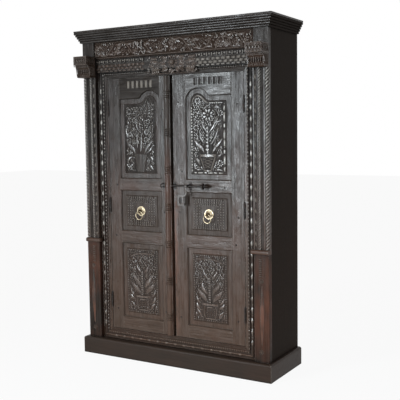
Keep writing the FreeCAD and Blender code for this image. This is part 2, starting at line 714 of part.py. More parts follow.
def capital():
    """Bracket capital: a deep block over a fillet, a hollow waist and a roll at the foot."""
    right = SIDE + CAPITAL_OVERHANG
    left = right - CAPITAL_WIDTH
    top = CAPITAL_BOTTOM + CAPITAL_HEIGHT
    block_bottom = top - CAPITAL_BLOCK_HEIGHT
    fillet_bottom = block_bottom - CAPITAL_FILLET_HEIGHT
    waist = CAPITAL_BOTTOM + CAPITAL_WAIST_RISE
    roll_top = CAPITAL_BOTTOM + CAPITAL_WAIST_RISE / 2
    radius = CAPITAL_ROLL_RADIUS
    bend = radius * (1 - sqrt(0.5))

    def place(out, up):
        return vec(left, FRONT - out, up)

    middle_out = (CAPITAL_FILLET_PROJECTION + CAPITAL_WAIST_PROJECTION) / 2
    hollow_out = middle_out - CAPITAL_HOLLOW_DEPTH
    hollow_up = (fillet_bottom + waist) / 2 + CAPITAL_HOLLOW_LIFT
    edges = [
        line(place(0, top), place(CAPITAL_PROJECTION, top)),
        line(place(CAPITAL_PROJECTION, top), place(CAPITAL_PROJECTION, block_bottom)),
        line(place(CAPITAL_PROJECTION, block_bottom), place(CAPITAL_FILLET_PROJECTION, block_bottom)),
        line(
            place(CAPITAL_FILLET_PROJECTION, block_bottom),
            place(CAPITAL_FILLET_PROJECTION, fillet_bottom),
        ),
        arc(
            place(CAPITAL_FILLET_PROJECTION, fillet_bottom),
            place(hollow_out, hollow_up),
            place(CAPITAL_WAIST_PROJECTION, waist),
        ),
        line(place(CAPITAL_WAIST_PROJECTION, waist), place(CAPITAL_ROLL_PROJECTION, roll_top)),
        line(
            place(CAPITAL_ROLL_PROJECTION, roll_top),
            place(CAPITAL_ROLL_PROJECTION, CAPITAL_BOTTOM + radius),
        ),
        arc(
            place(CAPITAL_ROLL_PROJECTION, CAPITAL_BOTTOM + radius),
            place(CAPITAL_ROLL_PROJECTION - bend, CAPITAL_BOTTOM + bend),
            place(CAPITAL_ROLL_PROJECTION - radius, CAPITAL_BOTTOM),
        ),
        line(place(CAPITAL_ROLL_PROJECTION - radius, CAPITAL_BOTTOM), place(0, CAPITAL_BOTTOM)),
        line(place(0, CAPITAL_BOTTOM), place(0, top)),
    ]
    return closed_face(edges).extrude(vec(CAPITAL_WIDTH, 0, 0))


def shelf_tops():
    return [OPENING_BOTTOM + number * SHELF_SPACING for number in range(1, SHELF_COUNT + 1)]


def floor_board():
    low = OPENING_BOTTOM - BOARD_THICKNESS
    return box(-SIDE_INNER, SIDE_INNER, FRAME_BACK, BACK_INNER, low, OPENING_BOTTOM)


def shelves():
    front = FRAME_BACK + SHELF_SETBACK
    boards = []
    for top in shelf_tops():
        boards.append(box(-SIDE_INNER, SIDE_INNER, front, BACK_INNER, top - BOARD_THICKNESS, top))
    return Part.makeCompound(boards)


def shelf_cleats():
    front = FRAME_BACK + SHELF_SETBACK + CLEAT_END_GAP
    back = BACK_INNER - CLEAT_END_GAP
    cleats = []
    for top in [OPENING_BOTTOM] + shelf_tops():
        high = top - BOARD_THICKNESS
        cleat = box(SIDE_INNER - CLEAT_SIZE, SIDE_INNER, front, back, high - CLEAT_SIZE, high)
        cleats.append(cleat)
        cleats.append(mirrored(cleat))
    return Part.makeCompound(cleats)


def knuckle(height, low, length, radius):
    return Part.makeCylinder(radius, length, vec(HINGE_AXIS_X, HINGE_AXIS_Y, height + low), vec(0, 0, 1))


def hinge_leaf(height, plate, edge_x, inward, lows, length):
    """Plate with its knuckles and the tongues that tie them together."""
    pieces = [plate]
    other = edge_x + inward * HINGE_LEAF_THICKNESS
    for low in lows:
        pieces.append(knuckle(height, low, length, HINGE_KNUCKLE_RADIUS))
        tongue = box(
            min(edge_x, other),
            max(edge_x, other),
            HINGE_AXIS_Y,
            LEAF_FRONT,
            height + low,
            height + low + length,
        )
        pieces.append(tongue)
    return join(pieces)


def frame_leaves():
    """Leaves on the jamb, each with its two outer knuckles, the pin and the pin's round tips."""
    third = HINGE_LENGTH / 3
    length = third - HINGE_END_CLEARANCE
    leaves = []
    for height, plate in zip(HINGE_HEIGHTS, leaf_plates(OPENING_HALF_WIDTH, 1, LEAF_FRONT)):
        lows = [-HINGE_LENGTH / 2, third / 2 + HINGE_END_CLEARANCE]
        leaf = hinge_leaf(height, plate, OPENING_HALF_WIDTH, 1, lows, length)
        pin = knuckle(height, -HINGE_LENGTH / 2, HINGE_LENGTH, HINGE_PIN_RADIUS)
        tips = []
        for end in (height - HINGE_LENGTH / 2, height + HINGE_LENGTH / 2):
            tips.append(Part.makeSphere(HINGE_TIP_RADIUS, vec(HINGE_AXIS_X, HINGE_AXIS_Y, end)))
        leaves.append(join([leaf, pin] + tips))
    return leaves


def door_leaves():
    """Leaves on the door, each with the middle knuckle bored for the pin."""
    third = HINGE_LENGTH / 3
    length = third - 2 * HINGE_END_CLEARANCE
    bore_length = length + 2 * TOOL_REACH
    bore_radius = HINGE_PIN_RADIUS + HINGE_PIN_CLEARANCE
    leaves = []
    for height, plate in zip(HINGE_HEIGHTS, leaf_plates(DOOR_HINGE_EDGE, -1, LEAF_FRONT)):
        low = -length / 2
        leaf = hinge_leaf(height, plate, DOOR_HINGE_EDGE, -1, [low], length)
        leaves.append(leaf.cut(knuckle(height, low - TOOL_REACH, bore_length, bore_radius)))
    return leaves


def panel_grooves():
    return [slab(name, GROOVE_DEPTH, GROOVE_FRONT, GROOVE_BACK) for name in PANEL_OPENINGS]


def edge_bevels():
    """Bevel round each panel opening on the front edges of stiles and rails."""
    grow = EDGE_BEVEL + TOOL_REACH
    return [
        tapered_slab(name, grow, DOOR_FACE - TOOL_REACH, 0.0, DOOR_FACE + EDGE_BEVEL)
        for name in PANEL_OPENINGS
    ]


def tenons(z0, z1):
    """Stub tenons of a rail; they fill the grooves of both stiles."""
    left = STILE_INNER_EDGE
    right = HINGE_STILE_INNER_EDGE
    return [
        box(left - GROOVE_DEPTH, left, GROOVE_FRONT, GROOVE_BACK, z0, z1),
        box(right, right + GROOVE_DEPTH, GROOVE_FRONT, GROOVE_BACK, z0, z1),
    ]


def cut_all(shape, tools):
    for tool in tools:
        shape = shape.cut(tool)
    return shape


RAIL_HEIGHTS = {
    "top": (TOP_RAIL_BOTTOM, DOOR_TOP),
    "upper": (UPPER_RAIL_BOTTOM, UPPER_RAIL_TOP),
    "lower": (LOWER_RAIL_BOTTOM, LOWER_RAIL_TOP),
    "bottom": (DOOR_BOTTOM, BOTTOM_RAIL_TOP),
}


def rail_blank(name):
    """Rail with its tenons; the top one reaches down to the start of the hump."""
    low, high = RAIL_HEIGHTS[name]
    if name != "top":
        body = box(STILE_INNER_EDGE, HINGE_STILE_INNER_EDGE, DOOR_FACE, DOOR_BACK, low, high)
        return join([body] + tenons(low, high))
    low = HUMP_CENTRE_Z + sqrt(HUMP_RADIUS ** 2 - HUMP_OFFSET ** 2)
    body = box(STILE_INNER_EDGE, HINGE_STILE_INNER_EDGE, DOOR_FACE, DOOR_BACK, low, high)
    head_space = slab("upper", 0.0, DOOR_FACE, DOOR_BACK)
    left_tenon, right_tenon = tenons(low, high)
    below_right = box(
        HINGE_STILE_INNER_EDGE,
        DOOR_HINGE_EDGE,
        GROOVE_FRONT,
        GROOVE_BACK,
        low,
        TOP_RAIL_BOTTOM,
    )
    return join([body.cut(head_space), left_tenon, right_tenon.cut(below_right)])


def gouges():
    first = PANEL_CENTRE - (GOUGE_COUNT - 1) / 2 * GOUGE_PITCH
    bottom = DOOR_TOP - GOUGE_TOP_MARGIN - GOUGE_HEIGHT
    tools = []
    for number in range(GOUGE_COUNT):
        base = vec(first + number * GOUGE_PITCH, DOOR_FACE - GOUGE_STAND_OFF, bottom)
        tools.append(Part.makeCylinder(GOUGE_RADIUS, GOUGE_HEIGHT, base, vec(0, 0, 1)))
    return tools


def door_rail(name):
    rail = cut_all(rail_blank(name), panel_grooves() + edge_bevels())
    if name == "top":
        rail = cut_all(rail, gouges())
    return rail


def rail_sockets():
    """Ends of all rails that go into the stiles."""
    between = box(
        STILE_INNER_EDGE,
        HINGE_STILE_INNER_EDGE,
        DOOR_FACE,
        DOOR_BACK,
        DOOR_BOTTOM,
        DOOR_TOP,
    )
    return [rail_blank(name).cut(between) for name in RAIL_HEIGHTS]


def door_stiles():
    left = DOOR_MEETING_EDGE
    right = DOOR_HINGE_EDGE
    cuts = panel_grooves() + edge_bevels() + rail_sockets()
    meeting = box(left, STILE_INNER_EDGE, DOOR_FACE, DOOR_BACK, DOOR_BOTTOM, DOOR_TOP)
    hinged = box(HINGE_STILE_INNER_EDGE, right, DOOR_FACE, DOOR_BACK, DOOR_BOTTOM, DOOR_TOP)
    meeting = cut_all(meeting, cuts)
    hinged = cut_all(hinged, cuts + [hinge_notches()] + leaf_plates(right, -1, HINGE_AXIS_Y))
    return meeting, hinged


def door_panel(name):
    """Floating panel: a tongue in the grooves, a flat border and a raised, bevelled field."""
    tongue = slab(name, GROOVE_DEPTH - PANEL_FLOAT, GROOVE_FRONT, GROOVE_BACK)
    border = slab(name, -PANEL_EDGE_GAP, PANEL_FACE, GROOVE_FRONT)
    field = tapered_slab(name, -FIELD_BORDER, PANEL_FACE, -FIELD_BORDER - FIELD_BEVEL, FIELD_FACE)
    pieces = [tongue, border, field]
    if name == "middle":
        half = PAD_SIZE / 2
        pad = box(
            PANEL_CENTRE - half,
            PANEL_CENTRE + half,
            PAD_FACE,
            FIELD_FACE,
            PULL_HEIGHT - half,
            PULL_HEIGHT + half,
        )
        pieces.append(pad)
    return join(pieces)


def meeting_rebate():
    """Step along the left door's meeting edge, in front; it is a dark groove between the doors."""
    return box(
        -DOOR_MEETING_EDGE - MEETING_REBATE_WIDTH,
        -DOOR_MEETING_EDGE + TOOL_REACH,
        DOOR_FACE - TOOL_REACH,
        DOOR_FACE + MEETING_REBATE_DEPTH,
        DOOR_BOTTOM - TOOL_REACH,
        DOOR_TOP + TOOL_REACH,
    )


def astragal():
    """Flat strip with a turned column let into it, beaded in groups over its whole height."""
    centre_x = DOOR_MEETING_EDGE + ASTRAGAL_EDGE_GAP + ASTRAGAL_WIDTH / 2
    left = centre_x - ASTRAGAL_WIDTH / 2
    right = centre_x + ASTRAGAL_WIDTH / 2
    strip_face = DOOR_FACE - ASTRAGAL_STRIP
    strip = box(left, right, strip_face, DOOR_FACE, DOOR_BOTTOM, DOOR_TOP)
    height = DOOR_TOP - DOOR_BOTTOM
    group_pitch = height / ASTRAGAL_GROUPS
    points = [(0.0, 0.0), (ASTRAGAL_PLAIN_RADIUS, 0.0)]
    for group in range(ASTRAGAL_GROUPS):
        middle = (group + 0.5) * group_pitch
        start = middle - ASTRAGAL_BEADS * ASTRAGAL_BEAD_PITCH / 2
        for bead in range(ASTRAGAL_BEADS):
            low = start + bead * ASTRAGAL_BEAD_PITCH
            points.append((ASTRAGAL_PLAIN_RADIUS, low))
            points.append((ASTRAGAL_BEAD_RADIUS, low + ASTRAGAL_BEAD_PITCH * 0.3))
            points.append((ASTRAGAL_BEAD_RADIUS, low + ASTRAGAL_BEAD_PITCH * 0.7))
        points.append((ASTRAGAL_PLAIN_RADIUS, start + ASTRAGAL_BEADS * ASTRAGAL_BEAD_PITCH))
    points.append((ASTRAGAL_PLAIN_RADIUS, height))
    points.append((0.0, height))
    foot = vec(centre_x, strip_face + ASTRAGAL_SINK, DOOR_BOTTOM)
    column = turned(points, foot, vec(0, 0, 1), vec(1, 0, 0))
    behind = box(
        centre_x - ASTRAGAL_WIDTH,
        centre_x + ASTRAGAL_WIDTH,
        strip_face,
        DOOR_BACK,
        DOOR_BOTTOM,
        DOOR_TOP,
    )
    return mirrored(join([column.cut(behind), strip]))


def rosette():
    """Turned back plate with a raised rim and a dished middle, and the post with the ring's eye."""
    points = [(0.0, 0.0), (ROSETTE_RADIUS, 0.0)]
    for inward, height in ROSETTE_PROFILE:
        points.append((ROSETTE_RADIUS - inward, height))
    points.append((POST_RADIUS, POST_FOOT_HEIGHT))
    points.append((POST_RADIUS, EYE_STAND_OFF))
    points.append((0.0, EYE_STAND_OFF))
    plate = turned(points, vec(PANEL_CENTRE, PAD_FACE, PULL_HEIGHT), vec(0, -1, 0), vec(1, 0, 0))
    eye_left = PANEL_CENTRE - EYE_WIDTH / 2
    eye = Part.makeCylinder(EYE_RADIUS, EYE_WIDTH, vec(eye_left, EYE_Y, PULL_HEIGHT), vec(1, 0, 0))
    hole_radius = RING_WIRE_RADIUS + EYE_HOLE_CLEARANCE
    hole_base = vec(PANEL_CENTRE - ROSETTE_RADIUS, EYE_Y, PULL_HEIGHT)
    hole = Part.makeCylinder(hole_radius, 2 * ROSETTE_RADIUS, hole_base, vec(1, 0, 0))
    return join([plate, eye]).cut(hole)


def ring():
    centre = vec(PANEL_CENTRE, EYE_Y, PULL_HEIGHT - RING_RADIUS)
    return Part.makeTorus(RING_RADIUS, RING_WIRE_RADIUS, centre, vec(0, 1, 0))


def staple(place_x, clearance):
    """Plate on the door with a bent wire over the bolt."""
    half_height = STAPLE_PLATE_HEIGHT / 2
    half_width = STAPLE_PLATE_WIDTH / 2
    plate_face = DOOR_FACE - STAPLE_PLATE_THICKNESS
    plate = box(
        place_x - half_width,
        place_x + half_width,
        plate_face,
        DOOR_FACE,
        BOLT_HEIGHT - half_height,
        BOLT_HEIGHT + half_height,
    )
    bend = BOLT_RADIUS + clearance + STAPLE_WIRE_RADIUS
    centre = vec(place_x, BOLT_AXIS_Y, BOLT_HEIGHT)
    crown = Part.makeTorus(bend, STAPLE_WIRE_RADIUS, centre, vec(1, 0, 0))
    reach = bend + STAPLE_WIRE_RADIUS + TOOL_REACH
    front_half = box(
        place_x - reach,
        place_x + reach,
        BOLT_AXIS_Y - reach,
        BOLT_AXIS_Y,
        BOLT_HEIGHT - reach,
        BOLT_HEIGHT + reach,
    )
    legs = []
    length = DOOR_FACE - BOLT_AXIS_Y
    for side in (-1, 1):
        base = vec(place_x, BOLT_AXIS_Y, BOLT_HEIGHT + side * bend)
        legs.append(Part.makeCylinder(STAPLE_WIRE_RADIUS, length, base, vec(0, 1, 0)))
    return join([plate, crown.common(front_half)] + legs)


def bolt_guides():
    return Part.makeCompound([staple(place, GUIDE_CLEARANCE) for place in GUIDE_PLACES])


def bolt_keeper():
    return staple(KEEPER_PLACE, KEEPER_CLEARANCE)


def bolt_rod():
    """Round bolt with a pointed tip, collars on both sides of the hasp and a turned finial."""
    half_eye = HASP_EYE_WIDTH / 2 + HASP_SIDE_CLEARANCE
    collar_places = [
        HASP_PLACE - half_eye - BOLT_COLLAR_WIDTH,
        HASP_PLACE + half_eye,
    ]
    points = [
        (0.0, 0.0),
        (BOLT_TIP_RADIUS, 0.0),
        (BOLT_RADIUS, BOLT_TIP_LENGTH),
    ]
    for place in collar_places:
        start = place - BOLT_TIP
        points.append((BOLT_RADIUS, start))
        points.append((BOLT_COLLAR_RADIUS, start))
        points.append((BOLT_COLLAR_RADIUS, start + BOLT_COLLAR_WIDTH))
        points.append((BOLT_RADIUS, start + BOLT_COLLAR_WIDTH))
    start = FINIAL_START - BOLT_TIP
    points.append((BOLT_RADIUS, start))
    for radius, distance in FINIAL_PROFILE:
        points.append((radius, start + distance))
    points.append((0.0, BOLT_LENGTH))
    return turned(points, vec(BOLT_TIP, BOLT_AXIS_Y, BOLT_HEIGHT), vec(1, 0, 0), vec(0, 0, 1))


def hasp():
    """Strap that hangs from an eye on the bolt, bends aside and ends in a slotted plate."""
    eye_left = HASP_PLACE - HASP_EYE_WIDTH / 2
    axis_point = vec(eye_left, BOLT_AXIS_Y, BOLT_HEIGHT)
    eye = Part.makeCylinder(HASP_EYE_RADIUS, HASP_EYE_WIDTH, axis_point, vec(1, 0, 0))
    bore_radius = BOLT_RADIUS + HASP_BORE_CLEARANCE
    bore = Part.makeCylinder(bore_radius, HASP_EYE_WIDTH, axis_point, vec(1, 0, 0))
    face_y = BOLT_AXIS_Y - HASP_THICKNESS / 2
    plate_bottom = BOLT_HEIGHT - HASP_DROP
    plate_top = plate_bottom + HASP_PLATE_HEIGHT
    bend_outer = HASP_BEND_RADIUS
    bend_inner = bend_outer - HASP_ARM_WIDTH
    bend_x = HASP_PLACE + HASP_ARM_WIDTH / 2 - bend_outer
    bend_z = plate_top + bend_inner
    arm_top = BOLT_HEIGHT - BOLT_RADIUS - HASP_ARM_GAP
    outer_middle = sqrt(0.5) * bend_outer
    inner_middle = sqrt(0.5) * bend_inner
    arm_edges = [
        line(vec(bend_x + bend_outer, face_y, arm_top), vec(bend_x + bend_outer, face_y, bend_z)),
        arc(
            vec(bend_x + bend_outer, face_y, bend_z),
            vec(bend_x + outer_middle, face_y, bend_z - outer_middle),
            vec(bend_x, face_y, bend_z - bend_outer),
        ),
        line(vec(bend_x, face_y, bend_z - bend_outer), vec(bend_x, face_y, bend_z - bend_inner)),
        arc(
            vec(bend_x, face_y, bend_z - bend_inner),
            vec(bend_x + inner_middle, face_y, bend_z - inner_middle),
            vec(bend_x + bend_inner, face_y, bend_z),
        ),
        line(vec(bend_x + bend_inner, face_y, bend_z), vec(bend_x + bend_inner, face_y, arm_top)),
        line(vec(bend_x + bend_inner, face_y, arm_top), vec(bend_x + bend_outer, face_y, arm_top)),
    ]
    arm = closed_face(arm_edges).extrude(vec(0, HASP_THICKNESS, 0))
    plate_right = bend_x + HASP_ARM_WIDTH / 2
    plate_left = plate_right - HASP_PLATE_WIDTH
    plate = box(plate_left, plate_right, face_y, face_y + HASP_THICKNESS, plate_bottom, plate_top)
    corners = [edge for edge in plate.Edges if abs(edge.Length - HASP_THICKNESS) < SAME_POINT]
    plate = plate.makeFillet(HASP_PLATE_ROUNDING, corners)
    slot_x = (plate_left + plate_right) / 2 - HASP_SLOT_OFFSET
    slot_z = (plate_bottom + plate_top) / 2
    half_run = (HASP_SLOT_HEIGHT - HASP_SLOT_WIDTH) / 2
    half_slot = HASP_SLOT_WIDTH / 2
    slot = box(
        slot_x - half_slot,
        slot_x + half_slot,
        face_y,
        face_y + HASP_THICKNESS,
        slot_z - half_run,
        slot_z + half_run,
    )
    ends = []
    for side in (-1, 1):
        centre = vec(slot_x, face_y, slot_z + side * half_run)
        ends.append(Part.makeCylinder(half_slot, HASP_THICKNESS, centre, vec(0, 1, 0)))
    return join([eye, arm, plate]).cut(join([slot] + ends)).cut(bore)


def save(name, shape):
    shape.exportStep("parts/" + name + ".step")


def save_pair(name, right_shape):
    save(name + "_right", right_shape)
    save(name + "_left", mirrored(right_shape))


def save_carcass():
    plinth_front, plinth_right, plinth_back = plinth()
    save("plinth_front", plinth_front)
    save_pair("plinth", plinth_right)
    save("plinth_back", plinth_back)
    save("base_board", base_board())
    save("floor_board", floor_board())
    save_pair("side", side_panel())
    save("back_boards", back_boards())
    save("top_board", top_board())
    cornice_front, cornice_right = cornice()
    save("cornice_front", cornice_front)
    save_pair("cornice", cornice_right)
    save("frieze_board", frieze_board())
    save_pair("corner_block", corner_block())
    save("lintel", lintel())
    save_pair("jamb", jamb())
    save("sill", sill())
    save_pair("pilaster", pilaster())
    save_pair("dado", dado())
    save_pair("neck_band", neck_band())
    save_pair("capital", capital())
    save("shelves", shelves())
    save("shelf_cleats", shelf_cleats())
    right_leaves = frame_leaves()
    left_leaves = [mirrored(leaf) for leaf in right_leaves]
    save("hinge_frame_leaves", Part.makeCompound(right_leaves + left_leaves))


def save_doors():
    meeting, hinged = door_stiles()
    save("meeting_stile_right", meeting)
    save("meeting_stile_left", mirrored(meeting).cut(meeting_rebate()))
    save_pair("hinge_stile", hinged)
    for name in RAIL_HEIGHTS:
        save_pair(name + "_rail", door_rail(name))
    for name in PANEL_OPENINGS:
        save_pair(name + "_panel", door_panel(name))
    save_pair("hinge_door_leaves", Part.makeCompound(door_leaves()))
    save_pair("rosette", rosette())
    save_pair("ring", ring())
    save("astragal", astragal())


def save_bolt():
    save("bolt_keeper", bolt_keeper())
    save("bolt_guides", bolt_guides())
    save("bolt_rod", bolt_rod())
    save("hasp", hasp())


os.makedirs("parts", exist_ok=True)
save_carcass()
save_doors()
save_bolt()
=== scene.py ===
import math
import random

import bmesh
import bpy
from mathutils import Matrix, Vector


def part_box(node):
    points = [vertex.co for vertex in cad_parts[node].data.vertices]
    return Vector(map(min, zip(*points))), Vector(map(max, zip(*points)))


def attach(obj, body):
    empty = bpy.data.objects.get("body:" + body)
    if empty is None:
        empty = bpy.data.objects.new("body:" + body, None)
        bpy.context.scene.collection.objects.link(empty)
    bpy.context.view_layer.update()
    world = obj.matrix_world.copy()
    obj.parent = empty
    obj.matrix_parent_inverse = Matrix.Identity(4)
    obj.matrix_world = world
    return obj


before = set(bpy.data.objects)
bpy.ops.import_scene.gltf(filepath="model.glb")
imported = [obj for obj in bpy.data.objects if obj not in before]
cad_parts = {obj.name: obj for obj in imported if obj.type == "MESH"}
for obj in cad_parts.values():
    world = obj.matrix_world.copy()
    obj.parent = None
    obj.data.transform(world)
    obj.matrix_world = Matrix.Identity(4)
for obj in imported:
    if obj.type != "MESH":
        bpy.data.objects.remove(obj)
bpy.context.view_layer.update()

bl_info = {
    "name": "Carved two-door cabinet",
    "version": (1, 0, 0),
    "blender": (4, 5, 0),
    "location": "3D View > Sidebar > Cabinet",
    "description": "Builds the finishes and the carved work of a tall cabinet on its packed frame",
    "category": "Object",
}

# Measures of the frame that its boxes don't give, in metres: how far the stops reach into the opening,
# the gap above the doors, and from a panel's lower edge to the lowest line of its carving
STOP_WIDTH = 0.014
DOOR_GAP = 0.003
CARVING_MARGIN = 0.0415

# Planes and places of the frame, in metres
DOOR_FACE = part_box("meeting_stile_right")[0].y
FIELD_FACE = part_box("upper_panel_right")[0].y
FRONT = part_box("dado_right")[0].y
FRIEZE_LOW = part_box("frieze_board")[0]
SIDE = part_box("side_right")[1].x
PANEL_CENTRE = (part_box("ring_right")[0].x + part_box("ring_right")[1].x) / 2
OPENING_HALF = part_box("jamb_right")[0].x + STOP_WIDTH
OPENING_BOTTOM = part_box("sill")[1].z
PULL_HEIGHT = (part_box("rosette_right")[0].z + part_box("rosette_right")[1].z) / 2
LINTEL_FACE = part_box("lintel")[0].y
RAIL_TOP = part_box("top_rail_left")[1].z
HASP_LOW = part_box("hasp")[0]
HASP_SLOT = (HASP_LOW.x + 0.0215, HASP_LOW.z + 0.031)


# ---------------------------------------------------------------- settings

def colour(name, description, default):
    return bpy.props.FloatVectorProperty(
        name=name, description=description, default=default, size=3, min=0, max=1, subtype="COLOR")


def length(name, description, default):
    return bpy.props.FloatProperty(
        name=name, description=description, default=default, min=0, unit="LENGTH")


class CabinetFinish(bpy.types.PropertyGroup):
    dark_wood: colour("Dark wood", "Stained hardwood between the worn places", (0.010, 0.0075, 0.006))
    light_wood: colour("Light grain", "Lighter streaks of the grain", (0.034, 0.026, 0.021))
    red_wood: colour("Red wood", "Wood that shows where the stain is worn", (0.11, 0.040, 0.023))
    faded_wood: colour("Faded wood", "Brown wood of the lower parts", (0.096, 0.056, 0.036))
    # Colour of worn edges and relief tips; it also serves as painted highlight on them and inside the left rail's
    # gouges.
    worn_and_highlit: colour("Worn edge", "Rubbed edges and high places of the carving", (0.25, 0.22, 0.19))
    # Pale tips stand partly for wear and partly for painted highlight on beads, ropes and leaves.
    polished_highlight: colour("Polished tips", "Beads, ropes and leaves that hands have worn bright", (0.44, 0.41, 0.37))
    brass: colour("Brass", "Ring pulls and their plates", (0.34, 0.28, 0.19))
    iron: colour("Iron", "Bolt, guides, hasp and hinges", (0.022, 0.020, 0.019))


class CabinetStage(bpy.types.PropertyGroup):
    floor: colour("Floor", "Pale floor under the cabinet", (0.95, 0.95, 0.95))
    floor_size: length("Floor size", "Side of the square floor", 40.0)


# ---------------------------------------------------------------- materials

class Nodes:
    """Short calls for the nodes and links of one tree."""

    def __init__(self, tree):
        self.tree = tree

    def node(self, kind, inputs=None, **settings):
        node = self.tree.nodes.new("ShaderNode" + kind)
        for key, value in settings.items():
            setattr(node, key, value)
        self.fill(node, inputs or {})
        return node

    def fill(self, node, inputs):
        for key, value in inputs.items():
            if isinstance(value, bpy.types.NodeSocket):
                self.tree.links.new(value, node.inputs[key])
            else:
                node.inputs[key].default_value = value

    def math(self, operation, a, b=0.0):
        return self.node("Math", {0: a, 1: b}, operation=operation).outputs[0]

    def seen(self):
        """One for rays that see a surface straight, in a mirror or through glass, nought for those that light."""
        ray = self.node("LightPath").outputs
        straight = self.math("MAXIMUM", ray["Is Camera Ray"], ray["Is Glossy Ray"])
        return self.math("MAXIMUM", straight, ray["Is Transmission Ray"])


class Shader(Nodes):
    """A new material, with calls for what its finishes share."""

    def __init__(self, name):
        self.material = bpy.data.materials.new(name)
        self.material.use_nodes = True
        super().__init__(self.material.node_tree)
        self.surface = self.tree.nodes["Principled BSDF"]
        self.object_coords = self.node("TexCoord").outputs["Object"]
        self.place = self.node("SeparateXYZ", {0: self.object_coords}).outputs

    def noise(self, scale, stretch=(1, 1, 1), detail=4.0, roughness=0.6, offset=(0, 0, 0)):
        mapping = self.node("Mapping", {"Vector": self.object_coords, "Scale": stretch, "Location": offset})
        texture = self.node("TexNoise", {
            "Vector": mapping.outputs[0], "Scale": scale, "Detail": detail, "Roughness": roughness})
        return texture.outputs["Fac"]

    def ramp(self, value, low, high, start=0.0, end=1.0):
        return self.node("MapRange", {
            "Value": value, "From Min": low, "From Max": high, "To Min": start, "To Max": end}).outputs[0]

    def times(self, a, b):
        return self.math("MULTIPLY", a, b)

    def mix(self, factor, a, b, blend="MIX"):
        return self.node("Mix", {0: factor, 6: a, 7: b}, data_type="RGBA", blend_type=blend).outputs[2]

    def near(self, value, centre, half):
        """One where the value is within half of the centre."""
        return self.node("Math", {0: value, 1: centre, 2: half}, operation="COMPARE").outputs[0]

    def distance(self, across, up):
        """Length of a way across and up."""
        return self.math("SQRT", self.math("ADD", self.times(across, across), self.times(up, up)))

    def edges(self, radius):
        """One on edges, nought on flat places."""
        soft = self.node("Bevel", {"Radius": radius}, samples=4).outputs[0]
        hard = self.node("NewGeometry").outputs["Normal"]
        likeness = self.node("VectorMath", {0: soft, 1: hard}, operation="DOT_PRODUCT").outputs["Value"]
        return self.ramp(likeness, 0.99, 0.8)

    def hollows(self, distance):
        """One in the open, less in grooves and corners."""
        return self.node("AmbientOcclusion", {"Distance": distance}, samples=6).outputs["AO"]


GRAIN = {"x": (3, 90, 90), "y": (90, 3, 90), "z": (90, 90, 3)}
HANDLING = {"x": (1, 3, 3), "y": (3, 1, 3), "z": (3, 3, 1)}


def rgba(values):
    return (*values, 1.0)


